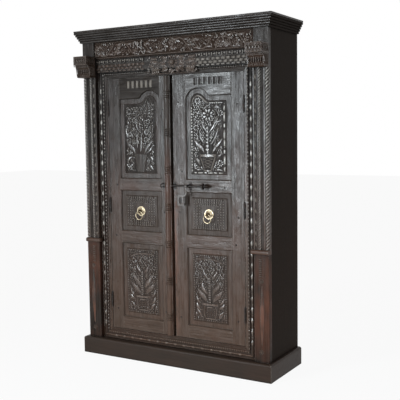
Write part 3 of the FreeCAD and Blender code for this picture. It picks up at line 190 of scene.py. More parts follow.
def wood_material(finish, name, grain, red=0.3, edge_wear_and_highlight=0.6, gloss=0.3, hollow_shade=0.8, seed=0.0,
                  sheen=0.24, ridge_wear_and_highlight=0.0, ground=None, fade=0.8, brown=0.0, tip="worn_and_highlit", rough_grain=0.45,
                  middle_red=0.0, streaks=1.0, highlit_cuts=None):
    """Stained hardwood: grain streaks, red worn patches, edges made pale, partly worn and partly painted highlight,
    and painted shade in hollows.

    The ridge setting turns the high places of carved relief to the colour named by tip, partly worn and partly
    painted highlight. Ground is a zone given painted shade and more roughness: its axis, its distance from the
    middle plane and its half width. Brown is the least share of the faded colour at any height. Middle red is the
    red share low down beside the doors' meeting edges. Highlit cuts get a painted highlight inside: their middle
    depth, half depth, lowest and highest place."""
    s = Shader(name)
    fibre = s.noise(1.6, GRAIN[grain], 5, 0.65, (seed, seed, seed))
    streak = s.noise(0.35, GRAIN[grain], 3, 0.5, (seed + 3, seed, seed))
    patch = s.noise(3.2, detail=3, offset=(seed, 0, seed))
    speck = s.noise(70, detail=3, offset=(seed, 0, seed))
    dents = s.noise(15, HANDLING[grain], 4, 0.65, (seed, seed, 0))
    grain_share = s.ramp(fibre, 0.35, 0.75, 0.4 - 0.4 * streaks, 0.4 + 0.6 * streaks)
    base = s.mix(grain_share, rgba(finish.dark_wood), rgba(finish.light_wood))
    base = s.mix(s.ramp(streak, 0.35, 0.7, 0.0, 0.55 * streaks), base, rgba(finish.dark_wood))
    redness = s.ramp(s.math("ADD", patch, s.times(streak, 0.45)), 0.62, 0.95, 0.0, red)
    redness = s.times(redness, s.ramp(s.place[2], 1.65, 1.0, 0.2, 1.0))
    if middle_red:
        beside = s.ramp(s.math("ABSOLUTE", s.place[0]), 0.045, 0.012)
        low = s.times(beside, s.ramp(s.place[2], 1.2, 0.95))
        redness = s.math("MAXIMUM", redness, s.times(low, s.ramp(dents, 0.35, 0.6, 0.0, middle_red)))
    base = s.mix(redness, base, rgba(finish.red_wood))
    faded = s.times(s.ramp(s.place[2], 1.35, 0.1), s.ramp(fibre, 0.25, 0.7, fade * 0.4, fade))
    faded = s.math("MAXIMUM", faded, s.ramp(fibre, 0.25, 0.7, brown * 0.4, brown))
    base = s.mix(faded, base, rgba(finish.faded_wood))
    # Edges turn to the worn colour: partly real wear, partly a painted highlight along the arrises.
    rubbed_and_highlit = s.times(s.edges(0.0022), s.ramp(speck, 0.3, 0.62, 0.15, edge_wear_and_highlight))
    base = s.mix(rubbed_and_highlit, base, rgba(finish.worn_and_highlit))
    # High places of the relief turn to the tip colour, partly as wear and partly as painted highlight; lower down
    # they go to the faded brown instead.
    if ridge_wear_and_highlight:
        relief = s.node("Attribute", attribute_name="height").outputs["Fac"]
        high = s.times(s.ramp(relief, 1.2, 4.6), s.ramp(speck, 0.35, 0.6, ridge_wear_and_highlight * 0.3, ridge_wear_and_highlight))
        dull = s.ramp(s.place[2], 1.15, 0.5, 0.0, 0.78)
        base = s.mix(high, base, s.mix(dull, rgba(getattr(finish, tip)), rgba(finish.faded_wood)))
    # Painted highlight inside the gouges of the left door's top rail.
    if highlit_cuts:
        depth, half, bottom, top = highlit_cuts
        inside = s.times(s.near(s.place[1], depth, half), s.math("GREATER_THAN", s.place[2], bottom))
        inside = s.times(inside, s.math("LESS_THAN", s.place[2], top))
        base = s.mix(s.times(inside, 0.7), base, rgba(finish.worn_and_highlit))
    # Painted shade: colour darkened in grooves, corners and recesses by ambient occlusion.
    shade = s.ramp(s.hollows(0.016), 0.3, 0.95, 1.0 - hollow_shade, 1.0)
    blotches = s.ramp(dents, 0.35, 0.65, -0.05 * streaks, 0.14 * streaks)
    rough = s.math("ADD", s.ramp(speck, 0.3, 0.7, gloss - 0.04, gloss + 0.06), blotches)
    # Painted shade: faces in the given zone, such as the sunk ground of carving and the jamb's inner band, are made
    # half as bright and rougher.
    if ground:
        axis, centre, half = ground
        sunk = s.near(s.math("ABSOLUTE", s.place[axis]), centre, half)
        shade = s.times(shade, s.ramp(sunk, 0, 1, 1.0, 0.5))
        rough = s.math("ADD", rough, s.times(sunk, 0.3))
    shade_colour = s.node("CombineColor", {0: shade, 1: shade, 2: shade}).outputs[0]
    base = s.mix(1.0, base, shade_colour, "MULTIPLY")
    height = s.math("ADD", s.math("ADD", fibre, s.times(speck, 0.8)), s.times(dents, 3.0))
    bump = s.node("Bump", {"Height": height, "Strength": rough_grain, "Distance": 0.0014})
    smears = s.noise(11, HANDLING[grain], 5, 0.7, (seed + 1, seed, seed + 2))
    smears = s.math("ADD", s.times(smears, 0.5), s.times(fibre, 0.5))
    s.fill(s.surface, {
        "Base Color": base, "Roughness": rough, "Normal": bump.outputs[0],
        "Specular IOR Level": s.ramp(smears, 0.38, 0.6, sheen * (1 - 0.6 * streaks), sheen * (1 + 0.35 * streaks))})
    return s.material


TARNISH_AND_SHADE = (0.035, 0.022, 0.010, 1)
RUST = (0.05, 0.026, 0.016, 1)
BRIGHT_IRON = (0.26, 0.25, 0.24, 1)
SLOT_SHADE = (0.006, 0.005, 0.005, 1)


def brass_material(finish, name, centre=None):
    """Polished brass that has gone brown in its hollows and in spots, with painted shade round a centre in x and z.
    """
    s = Shader(name)
    spots = s.noise(160, detail=4)
    clouds = s.noise(45, detail=2)
    tarnish_and_shade = s.ramp(s.hollows(0.014), 0.92, 0.5)
    tarnish_and_shade = s.math("MAXIMUM", tarnish_and_shade, s.ramp(clouds, 0.52, 0.75, 0.0, 0.3))
    # Painted shade: darker round the pull's middle, where the ring and its eye would shade the plate.
    if centre:
        across = s.math("SUBTRACT", s.math("ABSOLUTE", s.place[0]), centre[0])
        from_shade_middle = s.distance(across, s.math("SUBTRACT", s.place[2], centre[1]))
        tarnish_and_shade = s.math("MAXIMUM", tarnish_and_shade, s.ramp(from_shade_middle, 0.014, 0.010))
    base = s.mix(tarnish_and_shade, rgba(finish.brass), TARNISH_AND_SHADE)
    bump = s.node("Bump", {"Height": spots, "Strength": 0.2, "Distance": 0.0006})
    s.fill(s.surface, {
        "Base Color": base, "Metallic": 1.0, "Roughness": s.ramp(spots, 0.3, 0.7, 0.24, 0.42),
        "Normal": bump.outputs[0]})
    return s.material


def iron_material(finish, name, light, slot=None):
    """Hammered iron with brown rust in patches and bright worn edges, and painted shade round a slot in x and z."""
    s = Shader(name)
    dents = s.noise(55, detail=3)
    rust = s.noise(120, detail=5)
    iron = tuple(min(1.0, value * light) for value in finish.iron)
    base = s.mix(s.ramp(rust, 0.45, 0.68, 0.0, 0.7), rgba(iron), RUST)
    base = s.mix(s.times(s.edges(0.0012), 0.5), base, BRIGHT_IRON)
    # Painted shade: near black round the hasp's slot.
    if slot:
        across = s.times(s.math("SUBTRACT", s.place[0], slot[0]), 2.2)
        from_shade_middle = s.distance(across, s.math("SUBTRACT", s.place[2], slot[1]))
        base = s.mix(s.ramp(from_shade_middle, 0.024, 0.019), base, SLOT_SHADE)
    bump = s.node("Bump", {"Height": s.math("ADD", dents, s.times(rust, 0.4)), "Strength": 0.5, "Distance": 0.001})
    s.fill(s.surface, {
        "Base Color": base, "Metallic": s.ramp(rust, 0.45, 0.65, 0.3, 0.1),
        "Roughness": s.ramp(rust, 0.35, 0.65, 0.38, 0.65), "Specular IOR Level": 0.3, "Normal": bump.outputs[0]})
    return s.material


# What the plain boards share, and the half depth within which a face counts as the ground of its carving
PLAIN = dict(red=0.05, edge_wear_and_highlight=0.3, gloss=0.55, sheen=0.02, fade=0.08, rough_grain=0.05, streaks=0.05)
SKIN = 0.0006

# Woods by short name: the material's name, the way of its grain and how it differs from the usual finish
WOODS = {
    "wood_x": ("stained_wood_x", "x", dict(seed=0)),
    "wood_z": ("stained_wood_z", "z", dict(seed=2)),
    "worn_x": ("worn_red_wood_x", "x", dict(seed=5, red=0.75, edge_wear_and_highlight=0.75, gloss=0.42)),
    "plain_x": ("plain_wood_x", "x", dict(PLAIN, seed=9)),
    "plain_y": ("plain_wood_y", "y", dict(PLAIN, seed=10)),
    "plain_z": ("plain_wood_z", "z", dict(PLAIN, seed=11)),
    "panel": ("panel_wood", "z", dict(seed=4.0, ground=(1, -FIELD_FACE, SKIN))),
    "frieze": ("frieze_wood", "x", dict(
        seed=6.0, gloss=0.5, sheen=0.15, brown=0.55, ground=(1, -FRIEZE_LOW.y, SKIN))),
    "lintel": ("lintel_wood", "x", dict(seed=7.0, gloss=0.45, sheen=0.15, ground=(1, -LINTEL_FACE, SKIN))),
    "carving": ("carved_wood", "z", dict(
        seed=2.5, red=0.25, edge_wear_and_highlight=0.8, gloss=0.21, hollow_shade=0.6, sheen=0.6, ridge_wear_and_highlight=0.38)),
    "relief": ("brown_carved_wood", "x", dict(
        seed=8.5, red=0.9, edge_wear_and_highlight=0.5, gloss=0.26, hollow_shade=0.6, sheen=0.34, ridge_wear_and_highlight=0.2, brown=0.42)),
    "blocks": ("block_wood", "x", dict(
        seed=9.5, red=0.15, edge_wear_and_highlight=0.7, gloss=0.4, hollow_shade=0.6, sheen=0.2, ridge_wear_and_highlight=0.6)),
    "rope": ("rope_wood", "z", dict(
        seed=3.5, edge_wear_and_highlight=0.7, gloss=0.27, hollow_shade=0.5, sheen=0.5, ridge_wear_and_highlight=0.7, tip="polished_highlight")),
    # A lighter copy of the rope finish for the left jamb's spindles: painted highlight.
    "bright": ("painted_highlight_beads", "z", dict(
        seed=5.5, red=0.1, edge_wear_and_highlight=0.7, gloss=0.22, hollow_shade=0.5, sheen=0.5, ridge_wear_and_highlight=1.0, tip="polished_highlight")),
    "sill_carving": ("sill_carving_wood", "x", dict(
        seed=4.5, red=1.2, edge_wear_and_highlight=0.7, gloss=0.36, hollow_shade=0.3, sheen=0.3, ridge_wear_and_highlight=1.0, brown=0.6)),
    "sill": ("sill_wood", "x", dict(
        seed=5.9, red=1.3, edge_wear_and_highlight=0.7, gloss=0.42, hollow_shade=0.35, brown=1.0, ground=(1, -FRONT - 0.031, 0.0065))),
    "dado": ("dado_wood", "z", dict(seed=10.3, red=0.75, gloss=0.42, sheen=0.1, fade=0.1)),
    "moulding": ("moulding_wood", "x", dict(
        seed=1.5, red=0.1, edge_wear_and_highlight=0.02, hollow_shade=0.3, sheen=0.26, rough_grain=0.2)),
    "jamb": ("jamb_wood", "z", dict(
        seed=2.7, red=0.5, fade=1.0, ground=(0, OPENING_HALF + 0.0395, 0.0205))),
    "pilaster": ("pilaster_wood", "z", dict(seed=2.9, ground=(1, -FRONT - 0.003, SKIN))),
    "astragal": ("astragal_wood", "z", dict(
        seed=5.2, red=0.55, edge_wear_and_highlight=0.7, gloss=0.34, brown=0.1, middle_red=0.9)),
    "capital": ("capital_wood", "z", dict(seed=6.2, red=0.6, gloss=0.4, brown=0.4)),
    "plinth": ("plinth_wood", "x", dict(
        seed=7.7, red=0.1, edge_wear_and_highlight=0.9, gloss=0.42, fade=0.2, sheen=0.12, rough_grain=0.08, streaks=0.12)),
    "top_rail": ("top_rail_wood", "x", dict(seed=0.7, red=0.1, hollow_shade=0.9, sheen=0.32)),
    "left_rail": ("left_top_rail_wood", "x", dict(
        seed=0.7, red=0.1, hollow_shade=0.4, sheen=0.1, gloss=0.42,
        highlit_cuts=(DOOR_FACE + 0.0065, 0.0022, RAIL_TOP - 0.065, RAIL_TOP - 0.017))),
    "meeting": ("meeting_stile_wood", "z", dict(seed=2.0, middle_red=0.8)),
    "red": ("red_lozenge_wood", "z", dict(seed=3.9, red=2.2, gloss=0.4, fade=0.3)),
    "middle": ("middle_panel_wood", "z", dict(seed=2.2, red=0.08, gloss=0.38, sheen=0.2)),
}

MATERIALS = {}


def finishes():
    """All materials by short name, made once."""
    if not MATERIALS:
        finish = bpy.context.scene.cabinet_finish
        for key, (name, grain, settings) in WOODS.items():
            MATERIALS[key] = wood_material(finish, name, grain, **settings)
        MATERIALS["brass"] = brass_material(finish, "aged_brass")
        MATERIALS["plate_brass_shaded_centre"] = brass_material(finish, "plate_brass_shaded_centre", (PANEL_CENTRE, PULL_HEIGHT))
        MATERIALS["iron"] = iron_material(finish, "black_iron", 0.25)
        MATERIALS["worn_iron_shaded_slot"] = iron_material(finish, "worn_iron_shaded_slot", 4.0, HASP_SLOT)
    return MATERIALS


# Finish of each node of the frame, by the first words of its name
NODE_FINISHES = [
    ("plain_x", ["plinth_back", "base_board"]),
    ("plain_y", ["shelf_cleats", "cornice_left", "cornice_right"]),
    ("plinth", ["plinth_front", "plinth_left", "plinth_right"]),
    ("plain_z", ["side_"]),
    ("frieze", ["frieze_board"]),
    ("lintel", ["lintel"]),
    ("panel", ["upper_panel", "lower_panel"]),
    ("moulding", ["cornice_front"]),
    ("left_rail", ["top_rail_left"]),
    ("top_rail", ["top_rail"]),
    ("wood_x", ["upper_rail", "lower_rail", "bottom_rail", "floor_board", "shelves", "top_board"]),
    ("middle", ["middle_panel", "corner_block"]),
    ("sill", ["sill"]),
    ("worn_x", ["neck_band"]),
    ("dado", ["dado"]),
    ("astragal", ["astragal"]),
    ("jamb", ["jamb"]),
    ("pilaster", ["pilaster"]),
    ("capital", ["capital"]),
    ("meeting", ["meeting_stile"]),
    ("wood_z", ["hinge_stile", "back_boards"]),
    ("plate_brass_shaded_centre", ["rosette"]),
    ("brass", ["ring_"]),
    ("worn_iron_shaded_slot", ["hasp"]),
    ("iron", ["hinge_frame_leaves", "hinge_door_leaves", "bolt_"]),
]


def finish_of(node_name):
    for finish_name, starts in NODE_FINISHES:
        if any(node_name.startswith(start) for start in starts):
            return finish_name
    raise RuntimeError("no finish for " + node_name)


class CABINET_OT_frame_finishes(bpy.types.Operator):
    """Gives every node of the frame its wood or metal"""
    bl_idname = "cabinet.frame_finishes"
    bl_label = "Frame finishes"

    def execute(self, context):
        materials = finishes()
        for name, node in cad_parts.items():
            material = materials[finish_of(name)]
            for slot in node.material_slots:
                slot.material = material
        return {"FINISHED"}


# ---------------------------------------------------------------- carving

class CabinetCarving(bpy.types.PropertyGroup):
    rope_pitch: length("Rope pitch", "Height of one turn of the rope mouldings", 0.06)
    bead_pitch: length("Bead pitch", "Distance between the small beads", 0.015)
    dash_pitch: length("Dash pitch", "Distance between the spindles of the jambs", 0.064)
    vine_width: length("Vine width", "Half width of the vines and stems", 0.0028)


def add_piece(name, bm, body, material):
    """Makes the finished mesh an object that rides on a body."""
    bmesh.ops.recalc_face_normals(bm, faces=bm.faces)
    mesh = bpy.data.meshes.new(name)
    bm.to_mesh(mesh)
    bm.free()
    mesh.shade_smooth()
    mesh.set_sharp_from_angle(angle=math.radians(50))
    mesh.materials.append(finishes()[material])
    piece = bpy.data.objects.new(name, mesh)
    bpy.context.scene.collection.objects.link(piece)
    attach(piece, body)
    return piece


def stamp_mesh(kind):
    """Small repeated shapes on the plane y = 0: a round bud, a chip with a ridge and a bar with a low point."""
    if kind in STAMPS:
        return STAMPS[kind]
    bm = bmesh.new()
    if kind == "bud":
        bmesh.ops.create_uvsphere(bm, u_segments=8, v_segments=5, radius=1)
    elif kind == "chip":
        bmesh.ops.create_cone(bm, segments=6, radius1=1, radius2=0.74, depth=1, cap_ends=True)
    else:
        bmesh.ops.create_cone(bm, segments=4, radius1=0.7071, radius2=0.55, depth=1, cap_ends=True)
        bmesh.ops.rotate(bm, verts=bm.verts, matrix=Matrix.Rotation(math.pi / 4, 3, "Z"))
    if kind != "bud":
        top = [face for face in bm.faces if face.normal.z > 0.9]
        bmesh.ops.poke(bm, faces=top, offset=0.16)
        bmesh.ops.translate(bm, verts=bm.verts, vec=(0, 0, 0.5))
        bmesh.ops.rotate(bm, verts=bm.verts, matrix=Matrix.Rotation(math.pi / 2, 3, "X"))
    STAMPS[kind] = bpy.data.meshes.new(kind)
    bm.to_mesh(STAMPS[kind])
    bm.free()
    return STAMPS[kind]


STAMPS = {}


def tube_mesh(strokes):
    """One mesh of tapering tubes; a stroke has its points in x and z and the half width at each."""
    curve = bpy.data.curves.new("strokes", "CURVE")
    curve.dimensions = "3D"
    curve.bevel_depth = 1.0
    curve.bevel_resolution = 1
    curve.resolution_u = 3
    curve.use_fill_caps = True
    for points, widths in strokes:
        spline = curve.splines.new("NURBS")
        spline.points.add(len(points) - 1)
        for point, (x, z), width in zip(spline.points, points, widths):
            point.co = (x, 0, z, 1)
            point.radius = width
        spline.order_u = 3
        spline.use_endpoint_u = True
    holder = bpy.data.objects.new("strokes", curve)
    mesh = bpy.data.meshes.new_from_object(holder)
    bpy.data.objects.remove(holder)
    bpy.data.curves.remove(curve)
    return mesh


def around(x, z, across, up, angle):
    """Place on an oval round a middle."""
    return x + across * math.cos(angle), z + up * math.sin(angle)


def along(x0, z0, x1, z1, share):
    """Place on a line, by its share of the way."""
    return x0 + (x1 - x0) * share, z0 + (z1 - z0) * share


class Carving:
    """Relief collected on one upright plane. Its x and z are millimetres from an origin; relief stands
    out to the front, or to the side that the plane is turned to."""

    def __init__(self, origin, turn=0.0, side=1):
        self.place = (Matrix.Diagonal((side, 1, 1, 1)) @ Matrix.Translation(origin)
                      @ Matrix.Rotation(turn, 4, "Z") @ Matrix.Diagonal((0.001, 0.001, 0.001, 1)))
        self.strokes = {}
        self.taken = []
        self.bm = bmesh.new()

    def stroke(self, points, widths, relief=0.5, both=False):
        """Tapering tube through the points; relief flattens it, both repeats it at the other side."""
        self.strokes.setdefault(relief, []).append((points, widths))
        for (x0, z0), (x1, z1), width in zip(points, points[1:], widths[1:]):
            count = 1 + int(math.hypot(x1 - x0, z1 - z0) / 6)
            for number in range(count + 1):
                self.taken.append((*along(x0, z0, x1, z1, number / count), width))
        if both:
            self.stroke([(-x, z) for x, z in points], widths, relief)

    def stamp(self, kind, x, z, size, turn=0.0, lift=0.0, both=False, tilt=0.0):
        """Size is across, out and up; tilt leans its face to one side."""
        self.taken.append((x, z, (size[0] + size[2]) / 2))
        copy = stamp_mesh(kind).copy()
        copy.transform(Matrix.Translation((x, -lift, z)) @ Matrix.Rotation(tilt, 4, "Z")
                       @ Matrix.Rotation(turn, 4, "Y") @ Matrix.Diagonal((size[0], size[1], size[2], 1)))
        copy.transform(self.place)
        self.bm.from_mesh(copy)
        bpy.data.meshes.remove(copy)
        if both:
            self.stamp(kind, -x, z, size, -turn, lift)

    def leaf(self, x0, z0, x1, z1, width, bend=0.0, both=False, relief=0.5):
        """Pointed leaf that bows to one side."""
        dx, dz = x1 - x0, z1 - z0
        run = math.hypot(dx, dz)
        nx, nz = -dz / run * bend, dx / run * bend
        points = [(x0, z0), (x0 + dx * 0.3 + nx, z0 + dz * 0.3 + nz),
                  (x0 + dx * 0.7 + nx, z0 + dz * 0.7 + nz), (x1, z1)]
        half = width / 2
        self.stroke(points, [half * 0.25, half * 1.1, half * 0.9, half * 0.12], relief, both)

    def frond(self, x0, z0, x1, z1, width, bend=0.0, pairs=3, both=False):
        """Leaf with side lobes along its rib."""
        self.leaf(x0, z0, x1, z1, width * 0.45, bend, both, relief=0.9)
        dx, dz = x1 - x0, z1 - z0
        run = math.hypot(dx, dz)
        ux, uz = dx / run, dz / run
        for number in range(pairs):
            along = 0.2 + 0.62 * number / max(1, pairs - 1)
            bow = bend * 4 * along * (1 - along) * 0.8
            px, pz = x0 + dx * along - uz * bow, z0 + dz * along + ux * bow
            reach = width * (1.0 - 0.45 * along)
            for side in (-1, 1):
                ex = px + (ux * 0.75 - side * uz) * reach * 0.8
                ez = pz + (uz * 0.75 + side * ux) * reach * 0.8
                self.leaf(px, pz, ex, ez, width * 0.42, side * width * 0.1, both, relief=0.7)

    def scroll(self, x, z, radius, start, turns, width, both=False):
        """Spiral that winds in to a bud; negative turns wind the other way."""
        steps = max(4, int(abs(turns) * 6))
        points, widths = [], []
        for step in range(steps + 1):
            share = step / steps
            angle = start + turns * 2 * math.pi * share
            reach = radius * (1 - 0.78 * share)
            points.append(around(x, z, reach, reach, angle))
            widths.append(width * (1 - 0.35 * share))
        self.stroke(points, widths, 0.9, both)
        self.stamp("bud", x, z, (width * 1.5, width * 1.3, width * 1.5), both=both)

    def flower(self, x, z, radius, petals, both=False):
        """Flower of pointed petals round a bud."""
        near = radius * 0.3
        for number in range(petals):
            angle = 0.3 + number * 2 * math.pi / petals
            self.leaf(*around(x, z, near, near, angle), *around(x, z, radius, radius, angle),
                      radius * 2.6 / petals, 0.0, both, relief=0.9)
        self.stamp("bud", x, z, (radius * 0.32, radius * 0.3, radius * 0.32), both=both)

    def bloom(self, x, z, radius, petals, petal_width, petal_height, bud_height):
        """Flower of separate rounded petals round a bud."""
        reach = radius * 0.68
        for number in range(petals):
            angle = 0.4 + number * 2 * math.pi / petals
            self.stamp("chip", *around(x, z, reach, reach, angle),
                       (petal_width, petal_height, radius * 0.36), math.pi / 2 - angle)
        self.stamp("bud", x, z, (radius * 0.24, bud_height, radius * 0.24))

    def beads(self, x0, z0, x1, z1, pitch, radius, relief=0.8, both=False):
        """Row of buds from end to end of a line."""
        run = math.hypot(x1 - x0, z1 - z0)
        count = max(1, round(run / pitch))
        for number in range(count + 1):
            self.stamp("bud", *along(x0, z0, x1, z1, number / count), (radius, radius * relief, radius), both=both)

    def dashes(self, x0, z0, x1, z1, pitch, size, both=False):
        """Row of bars along a line; size is along, out and across it."""
        run = math.hypot(x1 - x0, z1 - z0)
        turn = math.atan2(z0 - z1, x1 - x0)
        count = max(1, int(run / pitch))
        for number in range(count):
            self.stamp("bar", *along(x0, z0, x1, z1, (number + 0.5) / count), size, turn, both=both)

    def blade(self, points, width, both=False):
        """Broad leaf along a bent line of four points, hollow between its raised margins."""
        (x0, z0), (x1, z1) = points[0], points[-1]
        run = math.hypot(x1 - x0, z1 - z0)
        nx, nz = -(z1 - z0) / run, (x1 - x0) / run
        for side in (-1, 1):
            margin = [(x + nx * side * width * bow, z + nz * side * width * bow)
                      for (x, z), bow in zip(points, (0, 0.45, 0.42, 0))]
            self.stroke(margin, [1.6, 3.0, 2.8, 1.2], 1.3, both)
        self.stroke(points, [1, width * 0.4, width * 0.36, 1], 0.16, both)

    def fill(self, x_range, z_range, seed, inside=None, pitch=12.5, size=1.0):
        """Small chips over the ground that is still free, curling round the middle."""
        draw = random.Random(seed)
        middle = sum(x_range) / 2, sum(z_range) / 2
        taken = list(self.taken)
        for row in range(int((z_range[1] - z_range[0]) / (pitch * 0.87)) + 1):
            for column in range(int((x_range[1] - x_range[0]) / pitch) + 1):
                x = x_range[0] + (column + 0.5 * (row % 2)) * pitch + draw.uniform(-0.22, 0.22) * pitch
                z = z_range[0] + row * pitch * 0.87 + draw.uniform(-0.22, 0.22) * pitch
                turn = math.atan2(x - middle[0], z - middle[1])
                turn = turn + draw.choice((-0.9, 0.7)) + draw.uniform(-0.5, 0.5)
                long, wide = draw.uniform(5.5, 9.0) * size, draw.uniform(3.2, 4.8) * size
                high, tilt = draw.uniform(3.2, 5.0), draw.uniform(-0.05, 0.25)
                if x > x_range[1] or z > z_range[1] or (inside and not inside(x, z)):
                    continue
                if all(math.hypot(x - tx, z - tz) > reach + 3.8 * size for tx, tz, reach in taken):
                    self.stamp("chip", x, z, (wide, high, long), turn, tilt=tilt)

    def leaves(self, *leaves):
        """Several leaves, each given by its ends, width, bend and whether it is on both sides."""
        for leaf in leaves:
            self.leaf(*leaf)

    def finish(self, name, body="carcass", slot="carved_wood", material="carving"):
        """Joins the strokes and stamps in one piece and notes how high each of its points stands."""
        for relief, strokes in self.strokes.items():
            mesh = tube_mesh(strokes)
            mesh.transform(self.place @ Matrix.Diagonal((1, relief, 1, 1)))
            self.bm.from_mesh(mesh)
            bpy.data.meshes.remove(mesh)
        height = self.bm.verts.layers.float.new("height")
        flat = self.place.inverted()
        for vert in self.bm.verts:
            vert[height] = -(flat @ vert.co).y
        return add_piece(name, self.bm, body, material)


SIDES = ((1, "right"), (-1, "left"))

# Middles of the mouldings on pilasters and jambs: distance from the centre and plane, in metres
OUTER_ROPE = (SIDE - 0.010, FRONT + 0.010, 0.0100)
INNER_ROPE = (SIDE - 0.056, FRONT + 0.008, 0.0080)
LEAF_BAND = (SIDE - 0.078, FRONT + 0.003)
BEAD_COLUMN = (OPENING_HALF + 0.0265, FRONT + 0.0265)
DASH_COLUMN = (OPENING_HALF + 0.048, FRONT + 0.0255)
ZIGZAG_BAND = (OPENING_HALF + 0.0655, FRONT + 0.027)
SHAFT_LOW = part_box("pilaster_right")[0].z + 0.002
SHAFT_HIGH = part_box("capital_right")[0].z
OPENING_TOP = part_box("meeting_stile_right")[1].z + DOOR_GAP


# The jambs' long beads stand further apart than the small ones, by this factor
JAMB_SPACING = 1.45

# Distances between repeated leaves, blocks and strokes, in millimetres
LEAF_PITCH = 61
BLOCK_PITCH = 33
ZIGZAG_PITCH = 12


def add_rope(bm, x, y, low, high, radius, pitch, strands=3):
    """Winds strands round one of the frame's half-round beads."""
    turns = (high - low) / pitch
    slope = math.atan2(pitch, 2 * math.pi * radius * 0.8)
    steps = int(turns * 10)
    for number in range(strands):
        angle = 2 * math.pi * number / strands
        place = (Matrix.Translation((x, y, low)) @ Matrix.Rotation(angle, 4, "Z")
                 @ Matrix.Translation((radius * 0.75, 0, 0)) @ Matrix.Rotation(slope - math.pi / 2, 4, "X"))
        made = bmesh.ops.create_circle(bm, segments=8, radius=radius * 0.52, matrix=place)
        edges = list({edge for vert in made["verts"] for edge in vert.link_edges})
        bmesh.ops.spin(bm, geom=made["verts"] + edges, cent=(x, y, low), axis=(0, 0, 1),
                       dvec=(0, 0, (high - low) / steps), angle=2 * math.pi * turns, steps=steps, use_merge=False)
    bmesh.ops.holes_fill(bm, edges=[edge for edge in bm.edges if edge.is_boundary], sides=8)


class CABINET_OT_ropes(bpy.types.Operator):
    """Winds rope mouldings up both pilasters"""
    bl_idname = "cabinet.ropes"
    bl_label = "Rope mouldings"

    def execute(self, context):
        pitch = context.scene.cabinet_carving.rope_pitch
        for side, word in SIDES:
            for kind, (x, y, radius), turn in (("outer", OUTER_ROPE, pitch), ("inner", INNER_ROPE, pitch * 0.8)):
                bm = bmesh.new()
                add_rope(bm, x, y, SHAFT_LOW, SHAFT_HIGH, radius, turn)
                # Outer parts of the strands count as highest, so the rope finish paints them pale: partly wear,
                # partly painted highlight.
                height = bm.verts.layers.float.new("height")
                for vert in bm.verts:
                    vert[height] = 12 * math.hypot(vert.co.x - x, vert.co.y - y) / radius - 10.5
                bmesh.ops.scale(bm, verts=bm.verts, vec=(side, 1, 1))
                add_piece(kind + "_rope_" + word, bm, "carcass", "rope")
        return {"FINISHED"}


class CABINET_OT_pilaster_leaves(bpy.types.Operator):
    """Carves the curling leaves between the ropes and the jambs"""
    bl_idname = "cabinet.pilaster_leaves"
    bl_label = "Pilaster leaf bands"

    def execute(self, context):
        low, high = SHAFT_LOW * 1000 + 12, SHAFT_HIGH * 1000 - 8
        for side, word in SIDES:
            c = Carving((*LEAF_BAND, 0), side=side)
            count = int((high - low) / LEAF_PITCH)
            pitch = (high - low) / count
            for number in range(count):
                z = low + pitch * number
                c.leaf(2, z + 2, -2, z + 38, 14, 2, relief=0.85)
                c.leaf(-5, z + pitch * 0.66, 5, z + pitch - 3, 8, 3, relief=0.5)
                c.leaf(6, z + pitch * 0.62, -3, z + pitch * 0.72, 5, -2, relief=0.5)
            c.finish("pilaster_leaves_" + word, material="blocks")
        return {"FINISHED"}


class CABINET_OT_jamb_mouldings(bpy.types.Operator):
    """Carves beads, spindles and a zigzag on jambs, and the beads that run on over the doors"""
    bl_idname = "cabinet.jamb_mouldings"
    bl_label = "Jamb beads and spindles"

    def execute(self, context):
        settings = context.scene.cabinet_carving
        pitch = settings.bead_pitch * 1000
        dash = settings.dash_pitch * 1000
        low, high = OPENING_BOTTOM * 1000, OPENING_TOP * 1000
        for side, word in SIDES:
            c = Carving((*BEAD_COLUMN, 0), side=side)
            count = int((high - low + 34) / (pitch * JAMB_SPACING))
            for number in range(count + 1):
                c.stamp("bud", 0, low - 8 + number * pitch * JAMB_SPACING, (6.4, 7.2, 8.2))
            c.finish("jamb_beads_" + word)
            c = Carving((*DASH_COLUMN, 0), side=side)
            for number in range(int((high - low) / dash)):
                z = low + dash * (number + 0.5)
                c.leaf(0, z - 20, 0, z + 20, 17, relief=0.8)
                for step in (-1, 0, 1):
                    c.stamp("bud", 0, z + dash / 2 + step * 8.5, (5.4 - abs(step), 2.6, 3.4))
            # The left spindles take the lighter copy, as painted highlight.
            c.finish("jamb_spindles_" + word, material="rope" if side > 0 else "bright")
            c = Carving((*ZIGZAG_BAND, 0), side=side)
            for number in range(int((high - low) / ZIGZAG_PITCH)):
                z = low + ZIGZAG_PITCH * number
                hand = 1 if number % 2 else -1
                c.stroke([(-4 * hand, z), (4 * hand, z + ZIGZAG_PITCH)], [2.1, 2.1], 1.1)
            c.finish("jamb_zigzag_" + word, material="rope")
        c = Carving((0, BEAD_COLUMN[1], OPENING_TOP))
        half = OPENING_HALF * 1000 + 14
        c.beads(-half, 26.5, half, 26.5, pitch, 5.2, 0.9)
        c.finish("lintel_beads")
        return {"FINISHED"}


class CABINET_OT_lintel_blocks(bpy.types.Operator):
    """Carves the row of blocks and the dentils across the lintel"""
    bl_idname = "cabinet.lintel_blocks"
    bl_label = "Lintel blocks and dentils"

    def execute(self, context):
        band = OPENING_TOP * 1000 + 66
        for side, word in SIDES:
            c = Carving((0, FRONT + 0.010, 0), side=side)
            for number in range(11):
                x = 196 + number * BLOCK_PITCH
                c.stamp("bar", x, band + 10, (30, 4, 17))
                c.stamp("bar", x + 16, band - 8, (30, 4, 16))
                c.stamp("bar", x, band - 23, (24, 4, 9))
            c.finish("lintel_blocks_" + word, material="blocks" if side > 0 else "capital")
            c = Carving((0, FRONT + 0.012, 0), side=side)
            for number in range(11):
                x = 190 + number * BLOCK_PITCH
                c.stamp("bar", x, OPENING_TOP * 1000 + 102, (8, 7, 20))
                c.stamp("bar", x + 16, OPENING_TOP * 1000 + 104, (16, 5, 10))
            c.finish("dentils_" + word, material="blocks")
        return {"FINISHED"}


